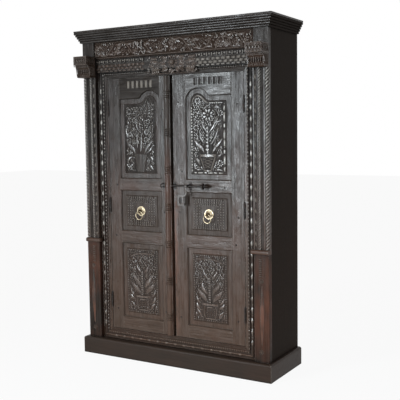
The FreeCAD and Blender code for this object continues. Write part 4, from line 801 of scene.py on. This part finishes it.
class CABINET_OT_frieze(bpy.types.Operator):
    """Carves vines, flowers and half-round arches along the frieze"""
    bl_idname = "cabinet.frieze"
    bl_label = "Frieze carving"

    def execute(self, context):
        vine = context.scene.cabinet_carving.vine_width * 1000
        plane = (0, FRIEZE_LOW.y, FRIEZE_LOW.z)
        c = Carving(plane)
        c.stroke([(-545, 8), (545, 8)], [2.5, 2.5], 1.0)
        c.stroke([(-545, 100), (545, 100)], [2.0, 2.0], 1.0)
        waves = ((-470, 1), (-330, -1), (-110, 1), (75, -1), (230, 1), (440, -1))
        for x, hand in waves:
            self.wave(c, x, hand, vine)
        for x, z in ((-545, 52), (-250, 30), (8, 70), (318, 35), (500, 40)):
            c.frond(x, z - 22, x + 22, z + 26, 26, 6, 3)
        c.fill((-540, 540), (16, 94), 5, pitch=17, size=1.5)
        c.finish("frieze_vines", material="relief")
        c = Carving(plane)
        for number in range(3):
            c.stamp("bar", -252 + number * 27, 76, (13, 7, 34))
        c.frond(-392, 20, -352, 84, 24, 4, 4)
        for flower in ((150, 46, 34, 12), (-64, 42, 22, 9), (270, 60, 18, 8), (-180, 34, 17, 8), (545, 52, 15, 8)):
            c.flower(*flower)
        for x, z, radius in ((365, 10, 52), (-512, 14, 40), (455, 10, 30)):
            self.lunette(c, x, z, radius)
        c.finish("frieze_flowers", material="relief")
        return {"FINISHED"}

    def wave(self, c, x, hand, vine):
        """One swing of the vine, with a scroll and leaves inside it."""
        middle = 54
        c.stroke([(x - 72, middle + 36 * hand), (x - 40, middle - 20 * hand), (x, middle - 44 * hand),
                  (x + 38, middle - 10 * hand), (x + 70, middle + 36 * hand)],
                 [vine, vine * 1.6, vine * 1.8, vine * 1.5, vine], 0.9)
        c.scroll(x - 6, middle + 8 * hand, 22, -1.2 * hand, 1.4 * hand, vine)
        c.scroll(x + 40, middle + 14 * hand, 15, 2.0 * hand, -1.2 * hand, vine)
        for number in range(5):
            angle = 0.7 + number * 0.42
            c.leaf(*around(x - 46, middle, 12, hand * 12, angle), *around(x - 46, middle, 34, hand * 34, angle),
                   11, 3 * hand)
        c.leaves((x + 20, middle - 30 * hand, x + 62, middle - 34 * hand, 14, 6 * hand),
                 (x - 18, middle - 38 * hand, x - 62, middle - 30 * hand, 13, -6 * hand),
                 (x + 52, middle - 6 * hand, x + 58, middle - 28 * hand, 9, 2))

    def lunette(self, c, x, z, radius):
        """Half-round arch with an inner ring of small leaves."""
        steps = 8
        angles = [math.pi * k / steps for k in range(steps + 1)]
        arch = [around(x, z, radius, radius * 1.35, angle) for angle in angles]
        c.stroke(arch, [3.4] * len(arch), 1.0)
        for angle in angles[1:-1]:
            c.leaf(*around(x, z, radius * 0.2, radius * 0.3, angle),
                   *around(x, z, radius * 0.85, radius * 1.12, angle), 8)


class CABINET_OT_centre_boss(bpy.types.Operator):
    """Carves the bunch of leaves and buds in the middle of the lintel"""
    bl_idname = "cabinet.centre_boss"
    bl_label = "Centre boss"

    def execute(self, context):
        c = Carving((0.02, FRONT + 0.012, OPENING_TOP))
        c.flower(0, 74, 40, 11)
        c.stamp("bud", 0, 74, (17, 20, 17))
        for number in range(9):
            angle = 0.35 + number * 2 * math.pi / 9
            c.frond(*around(0, 70, 44, 34, angle), *around(0, 68, 86, 52, angle), 26, 5, 3)
        for scroll in ((62, 92, 20, 0.4, 1.5, 3.6), (104, 58, 22, 2.6, -1.5, 3.6), (66, 34, 17, -0.6, -1.4, 3.2)):
            c.scroll(*scroll, both=True)
        for frond in ((84, 32, 150, 18, 30, 8, 4), (100, 84, 158, 96, 30, -8, 4), (128, 40, 172, 62, 24, 6, 3)):
            c.frond(*frond, both=True)
        c.beads(-150, 9, 150, 9, 11, 4)
        c.flower(140, 56, 15, 8, both=True)
        c.fill((-172, 172), (14, 112), 8, pitch=15, size=1.2)
        c.finish("centre_boss", material="relief")
        return {"FINISHED"}


class CABINET_OT_capitals(bpy.types.Operator):
    """Carves crossing bars, beads and flutes on the bracket capitals"""
    bl_idname = "cabinet.capitals"
    bl_label = "Capital carving"

    def execute(self, context):
        low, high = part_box("capital_right")
        middle = (low.x + high.x) / 2
        for side, word in SIDES:
            c = Carving((middle, low.y, low.z), side=side)
            self.lattice(c, 46, 101, 5)
            c.beads(-44, 67, 44, 67, 11, 4)
            c.finish("capital_front_" + word, material="relief")
            for name, x, turn in (("outer", high.x, math.pi / 2), ("inner", low.x, -math.pi / 2)):
                c = Carving((x, (low.y + FRONT) / 2, low.z), turn, side)
                hand = 1 if name == "outer" else -1
                self.lattice(c, 40, 101, 4)
                for number in range(6):
                    y = (-14 + number * 9.5) * hand
                    c.stroke([(y - 6 * hand, 66), (y, 48), (y + 2 * hand, 12)], [3.4, 3.0, 2.4], 0.9)
                c.finish("capital_" + name + "_" + word, material="relief")
            c = Carving((middle, FRONT - 0.050, low.z), side=side)
            for number in range(7):
                x = -42 + number * 14
                c.stroke([(x, 64), (x, 44), (x, 22)], [4.6, 3.6, 4.8], 1.1)
                c.stamp("bud", x, 10, (5.6, 9, 7.5), lift=3)
            c.finish("capital_flutes_" + word, material="capital")
        return {"FINISHED"}

    def lattice(self, c, half, middle, count):
        """Crossing bars with a bud in each mesh, between two plain fillets."""
        step = 2 * half / count
        for z in (middle - 24, middle + 24):
            c.stroke([(-half - 2, z), (half + 2, z)], [2.4, 2.4], 0.9)
        for number in range(count):
            x = -half + (number + 0.5) * step
            for hand in (-1, 1):
                c.stamp("bar", x, middle, (30, 4.5, 4.2), hand * math.atan2(38, step))
            c.stamp("bud", x + step / 2, middle, (4, 3.6, 4))
            c.stamp("bud", x, middle + 17, (3.4, 3.2, 3.4))
            c.stamp("bud", x, middle - 17, (3.4, 3.2, 3.4))


class CABINET_OT_upper_panels(bpy.types.Operator):
    """Carves a vase with flowers on both upper door panels"""
    bl_idname = "cabinet.upper_panels"
    bl_label = "Upper panel carving"

    def execute(self, context):
        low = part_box("upper_panel_right")[0].z + CARVING_MARGIN
        for side, word in SIDES:
            border = Carving((PANEL_CENTRE, FIELD_FACE, low), side=side)
            c = Carving((PANEL_CENTRE, FIELD_FACE, low), side=side)
            if side > 0:
                self.dashed_border(border)
                self.lattice_vase(c)
            else:
                self.dotted_border(border)
                self.plain_vase(c)
                self.vase_body(border)
            c.taken += border.taken
            c.fill((-99, 99), (16, 452), 11 + side, self.inside)
            c.finish("upper_carving_" + word, word + "_door")
            border.finish("upper_border_" + word, word + "_door", material="rope" if side > 0 else "middle")
        return {"FINISHED"}

    def inside(self, x, z):
        """Whether a place is below the panel's edge, which rises in a hump beside the meeting stile."""
        hump = 44 * math.cos((x + 66) / 52 * math.pi / 2) if abs(x + 66) < 52 else 0
        return z < 400 + hump

    def dashed_border(self, c):
        """Long bars with dots between them at the hinge side, short bars at the other."""
        for number, long in enumerate((30, 48, 22, 40, 52, 24, 56, 30)):
            c.stamp("bar", 109, 28 + number * 50, (11, 4.5, long))
            c.stamp("bud", 109, 53 + number * 50, (4.5, 4, 4.5))
        for number in range(22):
            c.stamp("bar", -110, 18 + number * 17.4, (10, 4, 12))
        for number, long in enumerate((20, 34, 18, 40, 24, 30)):
            c.stamp("bar", -88 + number * 34, 5, (long, 4.5, 8))
        c.dashes(8, 410, 96, 410, 14, (13, 4, 7))
        c.stroke([(-109, 396), (-105, 437), (-72, 458), (-40, 444), (-20, 418), (4, 409)], [3.4, 4, 4, 6, 5, 3], 0.9)

    def dotted_border(self, c):
        """Beads all round, and a plain moulding along the hump."""
        for x in (-109, 109):
            c.beads(x, 12, x, 396, 15, 4.8)
        c.beads(-96, 6, 96, 6, 14, 4.4)
        c.beads(8, 410, 96, 410, 15, 4.4)
        c.stroke([(-108, 402), (-104, 436), (-72, 457), (-40, 442), (-20, 417), (4, 409)], [3.6] * 6, 0.9)

    def lattice_vase(self, c):
        """A vase of crossing bars under a jointed stem with leaves and blooms."""
        c.stamp("bar", -5, 106, (108, 6, 16))
        for points, widths in (([(46, 100), (34, 60), (16, 16)], [5.5, 5.5, 5.0]),
                               ([(-54, 100), (-40, 60), (-26, 16)], [4.5, 4.0, 4.0])):
            c.stroke(points, widths, 1.0)
        c.stamp("bar", -5, 17, (52, 5, 10))
        for number in range(4):
            z = 34 + number * 17
            reach = 14 + (z - 20) * 0.36
            for hand in (-1, 1):
                c.stroke([(-5 - reach * hand, z), (-5 + reach * hand, z + 17)], [2.2, 2.2], 1.3)
        for number in range(7):
            c.stamp("bar", -6, 140 + number * 21, (22 - number, 6, 8))
        c.stroke([(-6, 114), (-6, 200), (-4, 276)], [6, 6, 5], 0.5)
        c.blade([(-30, 122), (-38, 150), (-80, 170), (-102, 212)], 22)
        c.blade([(26, 120), (40, 150), (72, 176), (98, 214)], 18)
        c.scroll(66, 262, 21, 1.0, -1.4, 3.4)
        c.leaves((14, 170, 64, 264, 13, -10), (-24, 176, -58, 236, 13, 8), (-2, 236, -50, 318, 13, 6),
                 (2, 236, 56, 318, 13, -6), (-58, 50, -96, 94, 19, -8), (-52, 24, -94, 34, 12, 5),
                 (-72, 20, -98, 62, 10, 8), (44, 22, 94, 18, 12, 4), (62, 92, 96, 118, 12, 4),
                 (30, 300, 92, 316, 11, -8), (-34, 374, -12, 396, 12, -4), (34, 382, 88, 376, 13, 6))
        self.blooms(c, (0, 342, 38, 8), (-84, 346, 22, 7), (82, 350, 20, 7), (-80, 268, 22, 9),
                    (-68, 424, 22, 8), (80, 62, 22, 8))

    def plain_vase(self, c):
        """A long stem with leaves at both sides and spiky blooms above."""
        c.leaf(21, 150, 21, 252, 13, 0, relief=0.8)
        c.blade([(38, 118), (46, 146), (84, 164), (104, 206)], 24)
        c.blade([(-30, 116), (-44, 150), (-70, 172), (-98, 208)], 18)
        c.leaves((-46, 120, -92, 168, 12, 6), (90, 214, 104, 292, 13, -7), (58, 214, 78, 250, 14, 6),
                 (80, 296, 92, 326, 15, -4), (-2, 130, -8, 246, 11, 3), (12, 258, 26, 318, 12, -6),
                 (66, 98, 96, 58, 17, 7), (70, 50, 96, 22, 13, -5), (-70, 104, -92, 66, 15, -6),
                 (-76, 52, -98, 18, 15, 6))
        self.blooms(c, (-50, 248, 21, 9), (-46, 202, 19, 8), (74, 236, 18, 8), (40, 322, 21, 8),
                    (78, 374, 22, 9), (-62, 312, 20, 8), (-12, 286, 17, 7), (70, 30, 16, 7))
        for number in range(5):
            c.leaf(-46 - number * 3, 356 + number * 15, -24 - number * 9, 366 + number * 16, 9, 3)
            c.leaf(-54 - number * 3, 356 + number * 15, -84 + number * 2, 364 + number * 15, 9, -3)
        c.stroke([(-44, 340), (-52, 384), (-64, 438)], [4, 4, 2.5], 0.9)

    def vase_body(self, c):
        """A broad smooth vase with a rim."""
        c.stroke([(-4, 4), (-4, 50), (-4, 112)], [24, 32, 46], 0.045)
        c.stroke([(-52, 112), (44, 112)], [3.2, 3.2], 0.8)
        c.stroke([(-26, 6), (-34, 60), (-50, 106)], [2.4] * 3, 0.9)
        c.stroke([(18, 6), (26, 60), (42, 106)], [2.4] * 3, 0.9)

    def blooms(self, c, *blooms):
        """Several blooms, each given by its middle, radius and number of petals."""
        for x, z, radius, petals in blooms:
            c.bloom(x, z, radius, petals, radius * 1.35 / petals + 1.2, 4.8, 4.5)


class CABINET_OT_middle_panels(bpy.types.Operator):
    """Carves rows of ticks round the plain pad of both middle panels"""
    bl_idname = "cabinet.middle_panels"
    bl_label = "Middle panel ticks"

    def execute(self, context):
        low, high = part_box("middle_panel_right")
        middle = (low.z + high.z) / 2
        for side, word in SIDES:
            c = Carving((PANEL_CENTRE, FIELD_FACE, middle), side=side)
            for x, z, count in ((58, 56, 8), (76, 70, 10), (94, 84, 12)):
                self.ticks(c, x, z, count)
            c.finish("middle_carving_" + word, word + "_door", material="blocks")
        return {"FINISHED"}

    def ticks(self, c, half_x, half_z, count):
        """Upright ticks above and below, level ticks at the sides."""
        for z in (half_z, -half_z):
            c.dashes(-half_x, z, half_x, z, 2 * half_x / count, (6, 4.5, 11))
        c.dashes(half_x + 4, -half_z, half_x + 4, half_z, 14.5, (6, 4.5, 11), both=True)


class CABINET_OT_lower_panels(bpy.types.Operator):
    """Carves a beaded pot with large leaves on both lower door panels"""
    bl_idname = "cabinet.lower_panels"
    bl_label = "Lower panel carving"

    def execute(self, context):
        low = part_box("lower_panel_right")[0].z + CARVING_MARGIN
        for side, word in SIDES:
            c = Carving((PANEL_CENTRE, FIELD_FACE, low), side=side)
            self.pot(c)
            self.leaves(c, side)
            c.fill((-97, 97), (18, 388), 21 + side)
            c.finish("lower_carving_" + word, word + "_door")
            c = Carving((PANEL_CENTRE, FIELD_FACE, low), side=side)
            c.beads(108, 8, 108, 394, 14, 5.4, both=True)
            c.beads(-94, 7, 94, 7, 14, 4.8)
            c.beads(-94, 396, 94, 396, 14, 4.8)
            for number in range(11):
                c.stamp("bar", 0, 120 + number * 14, (17, 9, 7))
            c.finish("lower_border_" + word, word + "_door", material="rope")
        return {"FINISHED"}

    def pot(self, c):
        """A round pot filled with beads, under a broad rim."""
        c.stamp("bar", 0, 20, (66, 5, 9))
        c.stroke([(-34, 24), (-50, 62), (-36, 92)], [3.6, 3.8, 3.4], 1.0, both=True)
        c.stamp("bar", 0, 104, (104, 6, 15))
        c.stamp("bar", 0, 88, (46, 7, 8))
        for number in range(5):
            c.beads(-30, 32 + number * 11.5, 30, 32 + number * 11.5, 11, 4)

    def leaves(self, c, side):
        """A stem, long leaves and blooms; the two doors differ a little."""
        c.stroke([(0, 112), (0, 190), (0, 268)], [6, 6, 5], 0.5)
        c.blade([(18, 118), (40, 150), (64, 164), (84, 196)], 32, both=True)
        c.blade([(14, 160), (26, 190), (58, 214), (74, 256)], 24, both=side < 0)
        c.leaf(-14, 166, -54, 236, 22, 12)
        c.leaf(6, 252, 48, 306, 14, -5, both=True)
        c.stroke([(-92, 372), (-30, 376), (24, 374), (64, 366), (88, 352)], [4, 4.5, 4, 5, 3], 0.9)
        for x, z, radius in ((62, 330, 20), (84, 288, 17), (20, 346, 18), (80, 232, 14)):
            for middle, height, reach in ((x, z, radius), (-x - 4, z - 3 * side, radius - 1)):
                c.bloom(middle, height, reach, 8, reach * 0.2 + 1, 4.4, 4.2)
        c.leaves((96, 114, 60, 84, 17, 6), (-92, 110, -64, 62, 17, -7), (90, 66, 60, 22, 15, -6, True),
                 (96, 52, 90, 18, 9, 2, True), (66, 108, 94, 152, 13, -6, True))


class CABINET_OT_dados(bpy.types.Operator):
    """Carves a flower, a long lozenge and a small rosette on both dados"""
    bl_idname = "cabinet.dados"
    bl_label = "Dado carving"

    def execute(self, context):
        low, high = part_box("dado_right")
        for side, word in SIDES:
            c = Carving(((low.x + high.x) / 2, FRONT, low.z), side=side)
            for number in range(9):
                c.stamp("bar", -6, 590 - number * 12, (20, 3, 5))
                c.stamp("bud", 16, 584 - number * 12, (3, 2.4, 3))
            c.flower(0, 466, 17, 8)
            c.flower(0, 60, 16, 8)
            c.finish("dado_carving_" + word, "carcass", "worn_wood", "blocks")
            c = Carving(((low.x + high.x) / 2, FRONT, low.z), side=side)
            for edge in ((-18, 290), (24, 270)):
                c.stroke([(4, 440), edge, (2, 96)], [2.2, 2.6, 2.2], 0.8)
            c.leaf(4, 410, 2, 110, 26, 3, relief=0.3)
            c.finish("dado_lozenge_" + word, "carcass", "worn_wood", "red")
        return {"FINISHED"}


class CABINET_OT_sill_beads(bpy.types.Operator):
    """Carves the beads and leaves along the sill"""
    bl_idname = "cabinet.sill_beads"
    bl_label = "Sill beads"

    def execute(self, context):
        half = OPENING_HALF * 1000
        c = Carving((0, BEAD_COLUMN[1], OPENING_BOTTOM))
        c.beads(-half - 20, -26.5, half + 20, -26.5, context.scene.cabinet_carving.bead_pitch * 1000, 6.0, 1.0)
        c.finish("sill_beads", "carcass", "worn_wood", "sill_carving")
        c = Carving((0, DASH_COLUMN[1], OPENING_BOTTOM))
        count = int(2 * half / LEAF_PITCH)
        for number in range(count):
            x = -half + (number + 0.5) * 2 * half / count
            c.leaf(x - 16, -48, x + 16, -48, 14, relief=0.8)
            c.beads(x + 23, -48, x + 38, -48, 7.5, 4.6)
        c.finish("sill_spindles", "carcass", "worn_wood", "sill_carving")
        return {"FINISHED"}


class CABINET_OT_hasp_shade_plate(bpy.types.Operator):
    """Nails a thin dark iron plate to the door behind the hasp, as painted shade seen through its slot"""
    bl_idname = "cabinet.hasp_plate"
    bl_label = "Hasp plate"

    def execute(self, context):
        # A dark sheet where the slot shows the door, so the slot reads dark: painted shade.
        c = Carving((HASP_LOW.x - 0.001, DOOR_FACE, HASP_SLOT[1]))
        c.stamp("bar", 0, 0, (46, 1.6, 60))
        for x, z in ((-18, -25), (18, -25), (-18, 25), (18, 25)):
            c.stamp("bud", x, z, (3.2, 2.0, 3.2), lift=1.4)
        c.finish("hasp_shade_plate", "right_door", "iron", "iron")
        return {"FINISHED"}


# Pegs through the door joints: x and z in millimetres on each door
PEGS = {
    1: ((40, 1590), (432, 1567), (350, 1088), (40, 935), (436, 920), (40, 295), (430, 312), (60, 1180), (420, 760)),
    -1: ((428, 1583), (70, 1548), (70, 928), (436, 300), (70, 313), (420, 1090), (436, 770)),
}


class CABINET_OT_pegs(bpy.types.Operator):
    """Drives the pegs of the door joints"""
    bl_idname = "cabinet.pegs"
    bl_label = "Door pegs"

    def execute(self, context):
        for side, word in SIDES:
            c = Carving((0, DOOR_FACE, 0), side=side)
            for x, z in PEGS[side]:
                c.stamp("bud", x, z, (5.5, 2.4, 5.5))
            c.finish("door_pegs_" + word, word + "_door", "iron", "iron")
        return {"FINISHED"}


# ---------------------------------------------------------------- stage

# Lamps: name, place, target, width and height in metres, watts, and the spread of those that are narrowed
LAMPS = (
    ("key", (-1.55, -3.95, 1.45), (0.5, -0.15, 1.1), 0.8, 1.9, 30, 1.2),
    ("low", (-3.0, -3.9, 0.7), (0.0, -0.15, 0.6), 1.2, 0.7, 14),
    ("top", (0.0, -1.9, 4.4), (0, 0, 1.2), 2.6, 1.2, 6),
    ("fill", (1.2, -5.2, 1.0), (0.1, -0.1, 0.9), 2.4, 1.6, 10),
    ("glint", (3.0, -2.9, 1.5), (-0.2, -0.15, 1.1), 0.5, 1.6, 6, 1.2),
)
LAMP_COLOUR = (0.87, 0.95, 1.0)
WHITE = (1, 1, 1, 1)
WORLD_LIGHT = 0.25
FLOOR_GLOW = 0.92
CAMERA_PLACE = (2.4179, -3.871, 1.3928)
CAMERA_YAW, CAMERA_PITCH, CAMERA_ROLL = 0.5376, -0.0868, 0.0133
CAMERA_LENS = 67.0


class CABINET_OT_stage(bpy.types.Operator):
    """Puts the cabinet on a pale floor in soft light and sets up the camera"""
    bl_idname = "cabinet.stage"
    bl_label = "Floor, light and camera"

    def execute(self, context):
        settings = context.scene.cabinet_stage
        build_floor(settings)
        build_world()
        for lamp in LAMPS:
            soft_light(*lamp)
        build_camera()
        return {"FINISHED"}


def build_floor(settings):
    """Pale floor that looks almost white and still takes a little shadow."""
    bm = bmesh.new()
    bmesh.ops.create_grid(bm, x_segments=4, y_segments=4, size=settings.floor_size / 2)
    mesh = bpy.data.meshes.new("floor")
    bm.to_mesh(mesh)
    bm.free()
    floor = bpy.data.objects.new("floor", mesh)
    bpy.context.scene.collection.objects.link(floor)
    s = Shader("pale_floor")
    grey = s.noise(30, detail=2)
    base = s.mix(s.ramp(grey, 0.3, 0.7, 0.0, 0.03), rgba(settings.floor), (0.8, 0.8, 0.8, 1))
    s.fill(s.surface, {"Base Color": base, "Roughness": 0.7})
    white = s.node("Emission", {"Color": WHITE, "Strength": 1.0}).outputs[0]
    blend = s.node("MixShader", {0: s.times(s.seen(), FLOOR_GLOW), 1: s.surface.outputs[0], 2: white})
    s.fill(s.tree.nodes["Material Output"], {0: blend.outputs[0]})
    mesh.materials.append(s.material)


def build_world():
    """White surroundings that give only a soft light."""
    world = bpy.data.worlds.new("studio")
    bpy.context.scene.world = world
    world.use_nodes = True
    tree = Nodes(world.node_tree)
    light = world.node_tree.nodes["Background"]
    tree.fill(light, {"Color": WHITE, "Strength": WORLD_LIGHT})
    white = tree.node("Background", {"Color": WHITE, "Strength": 1.0}).outputs[0]
    blend = tree.node("MixShader", {0: tree.seen(), 1: light.outputs[0], 2: white})
    tree.fill(world.node_tree.nodes["World Output"], {0: blend.outputs[0]})


def soft_light(name, place, target, width, height, power, spread=math.pi):
    """Rectangular lamp that looks at its target."""
    lamp = bpy.data.lights.new(name, "AREA")
    lamp.shape = "RECTANGLE"
    lamp.size = width
    lamp.size_y = height
    lamp.energy = power
    lamp.color = LAMP_COLOUR
    lamp.spread = spread
    light = bpy.data.objects.new(name, lamp)
    bpy.context.scene.collection.objects.link(light)
    light.location = place
    light.rotation_euler = (Vector(target) - Vector(place)).to_track_quat("-Z", "Y").to_euler()


def build_camera():
    """Camera turned by its yaw, pitch and roll, in that order."""
    camera = bpy.data.cameras.new("camera")
    camera.lens = CAMERA_LENS
    view = bpy.data.objects.new("camera", camera)
    bpy.context.scene.collection.objects.link(view)
    turn = (Matrix.Rotation(CAMERA_YAW, 4, "Z") @ Matrix.Rotation(CAMERA_PITCH, 4, "X")
            @ Matrix.Rotation(CAMERA_ROLL, 4, "Y") @ Matrix.Rotation(math.pi / 2, 4, "X"))
    view.matrix_world = Matrix.Translation(CAMERA_PLACE) @ turn
    bpy.context.scene.camera = view


# ---------------------------------------------------------------- panel and start

OPERATORS = [
    CABINET_OT_frame_finishes, CABINET_OT_ropes, CABINET_OT_pilaster_leaves, CABINET_OT_jamb_mouldings,
    CABINET_OT_lintel_blocks, CABINET_OT_frieze, CABINET_OT_centre_boss, CABINET_OT_capitals,
    CABINET_OT_upper_panels, CABINET_OT_middle_panels, CABINET_OT_lower_panels, CABINET_OT_dados,
    CABINET_OT_sill_beads, CABINET_OT_hasp_shade_plate, CABINET_OT_pegs, CABINET_OT_stage,
]


class CABINET_PT_sidebar(bpy.types.Panel):
    """Buttons that build the cabinet's looks, in order"""
    bl_idname = "CABINET_PT_sidebar"
    bl_label = "Carved cabinet"
    bl_space_type = "VIEW_3D"
    bl_region_type = "UI"
    bl_category = "Cabinet"

    def draw(self, context):
        for group in (context.scene.cabinet_finish, context.scene.cabinet_carving, context.scene.cabinet_stage):
            for name in group.__annotations__:
                self.layout.prop(group, name)
        for operator in OPERATORS:
            self.layout.operator(operator.bl_idname)


CLASSES = [CabinetFinish, CabinetCarving, CabinetStage, *OPERATORS, CABINET_PT_sidebar]


def register():
    for cls in CLASSES:
        bpy.utils.register_class(cls)
    bpy.types.Scene.cabinet_finish = bpy.props.PointerProperty(type=CabinetFinish)
    bpy.types.Scene.cabinet_carving = bpy.props.PointerProperty(type=CabinetCarving)
    bpy.types.Scene.cabinet_stage = bpy.props.PointerProperty(type=CabinetStage)


def unregister():
    del bpy.types.Scene.cabinet_finish
    del bpy.types.Scene.cabinet_carving
    del bpy.types.Scene.cabinet_stage
    for cls in reversed(CLASSES):
        bpy.utils.unregister_class(cls)


def main():
    register()
    scene = bpy.context.scene
    scene.view_settings.view_transform = "Standard"
    for operator in OPERATORS:
        category, name = operator.bl_idname.split(".")
        getattr(getattr(bpy.ops, category), name)()


if __name__ == "__main__":
    main()
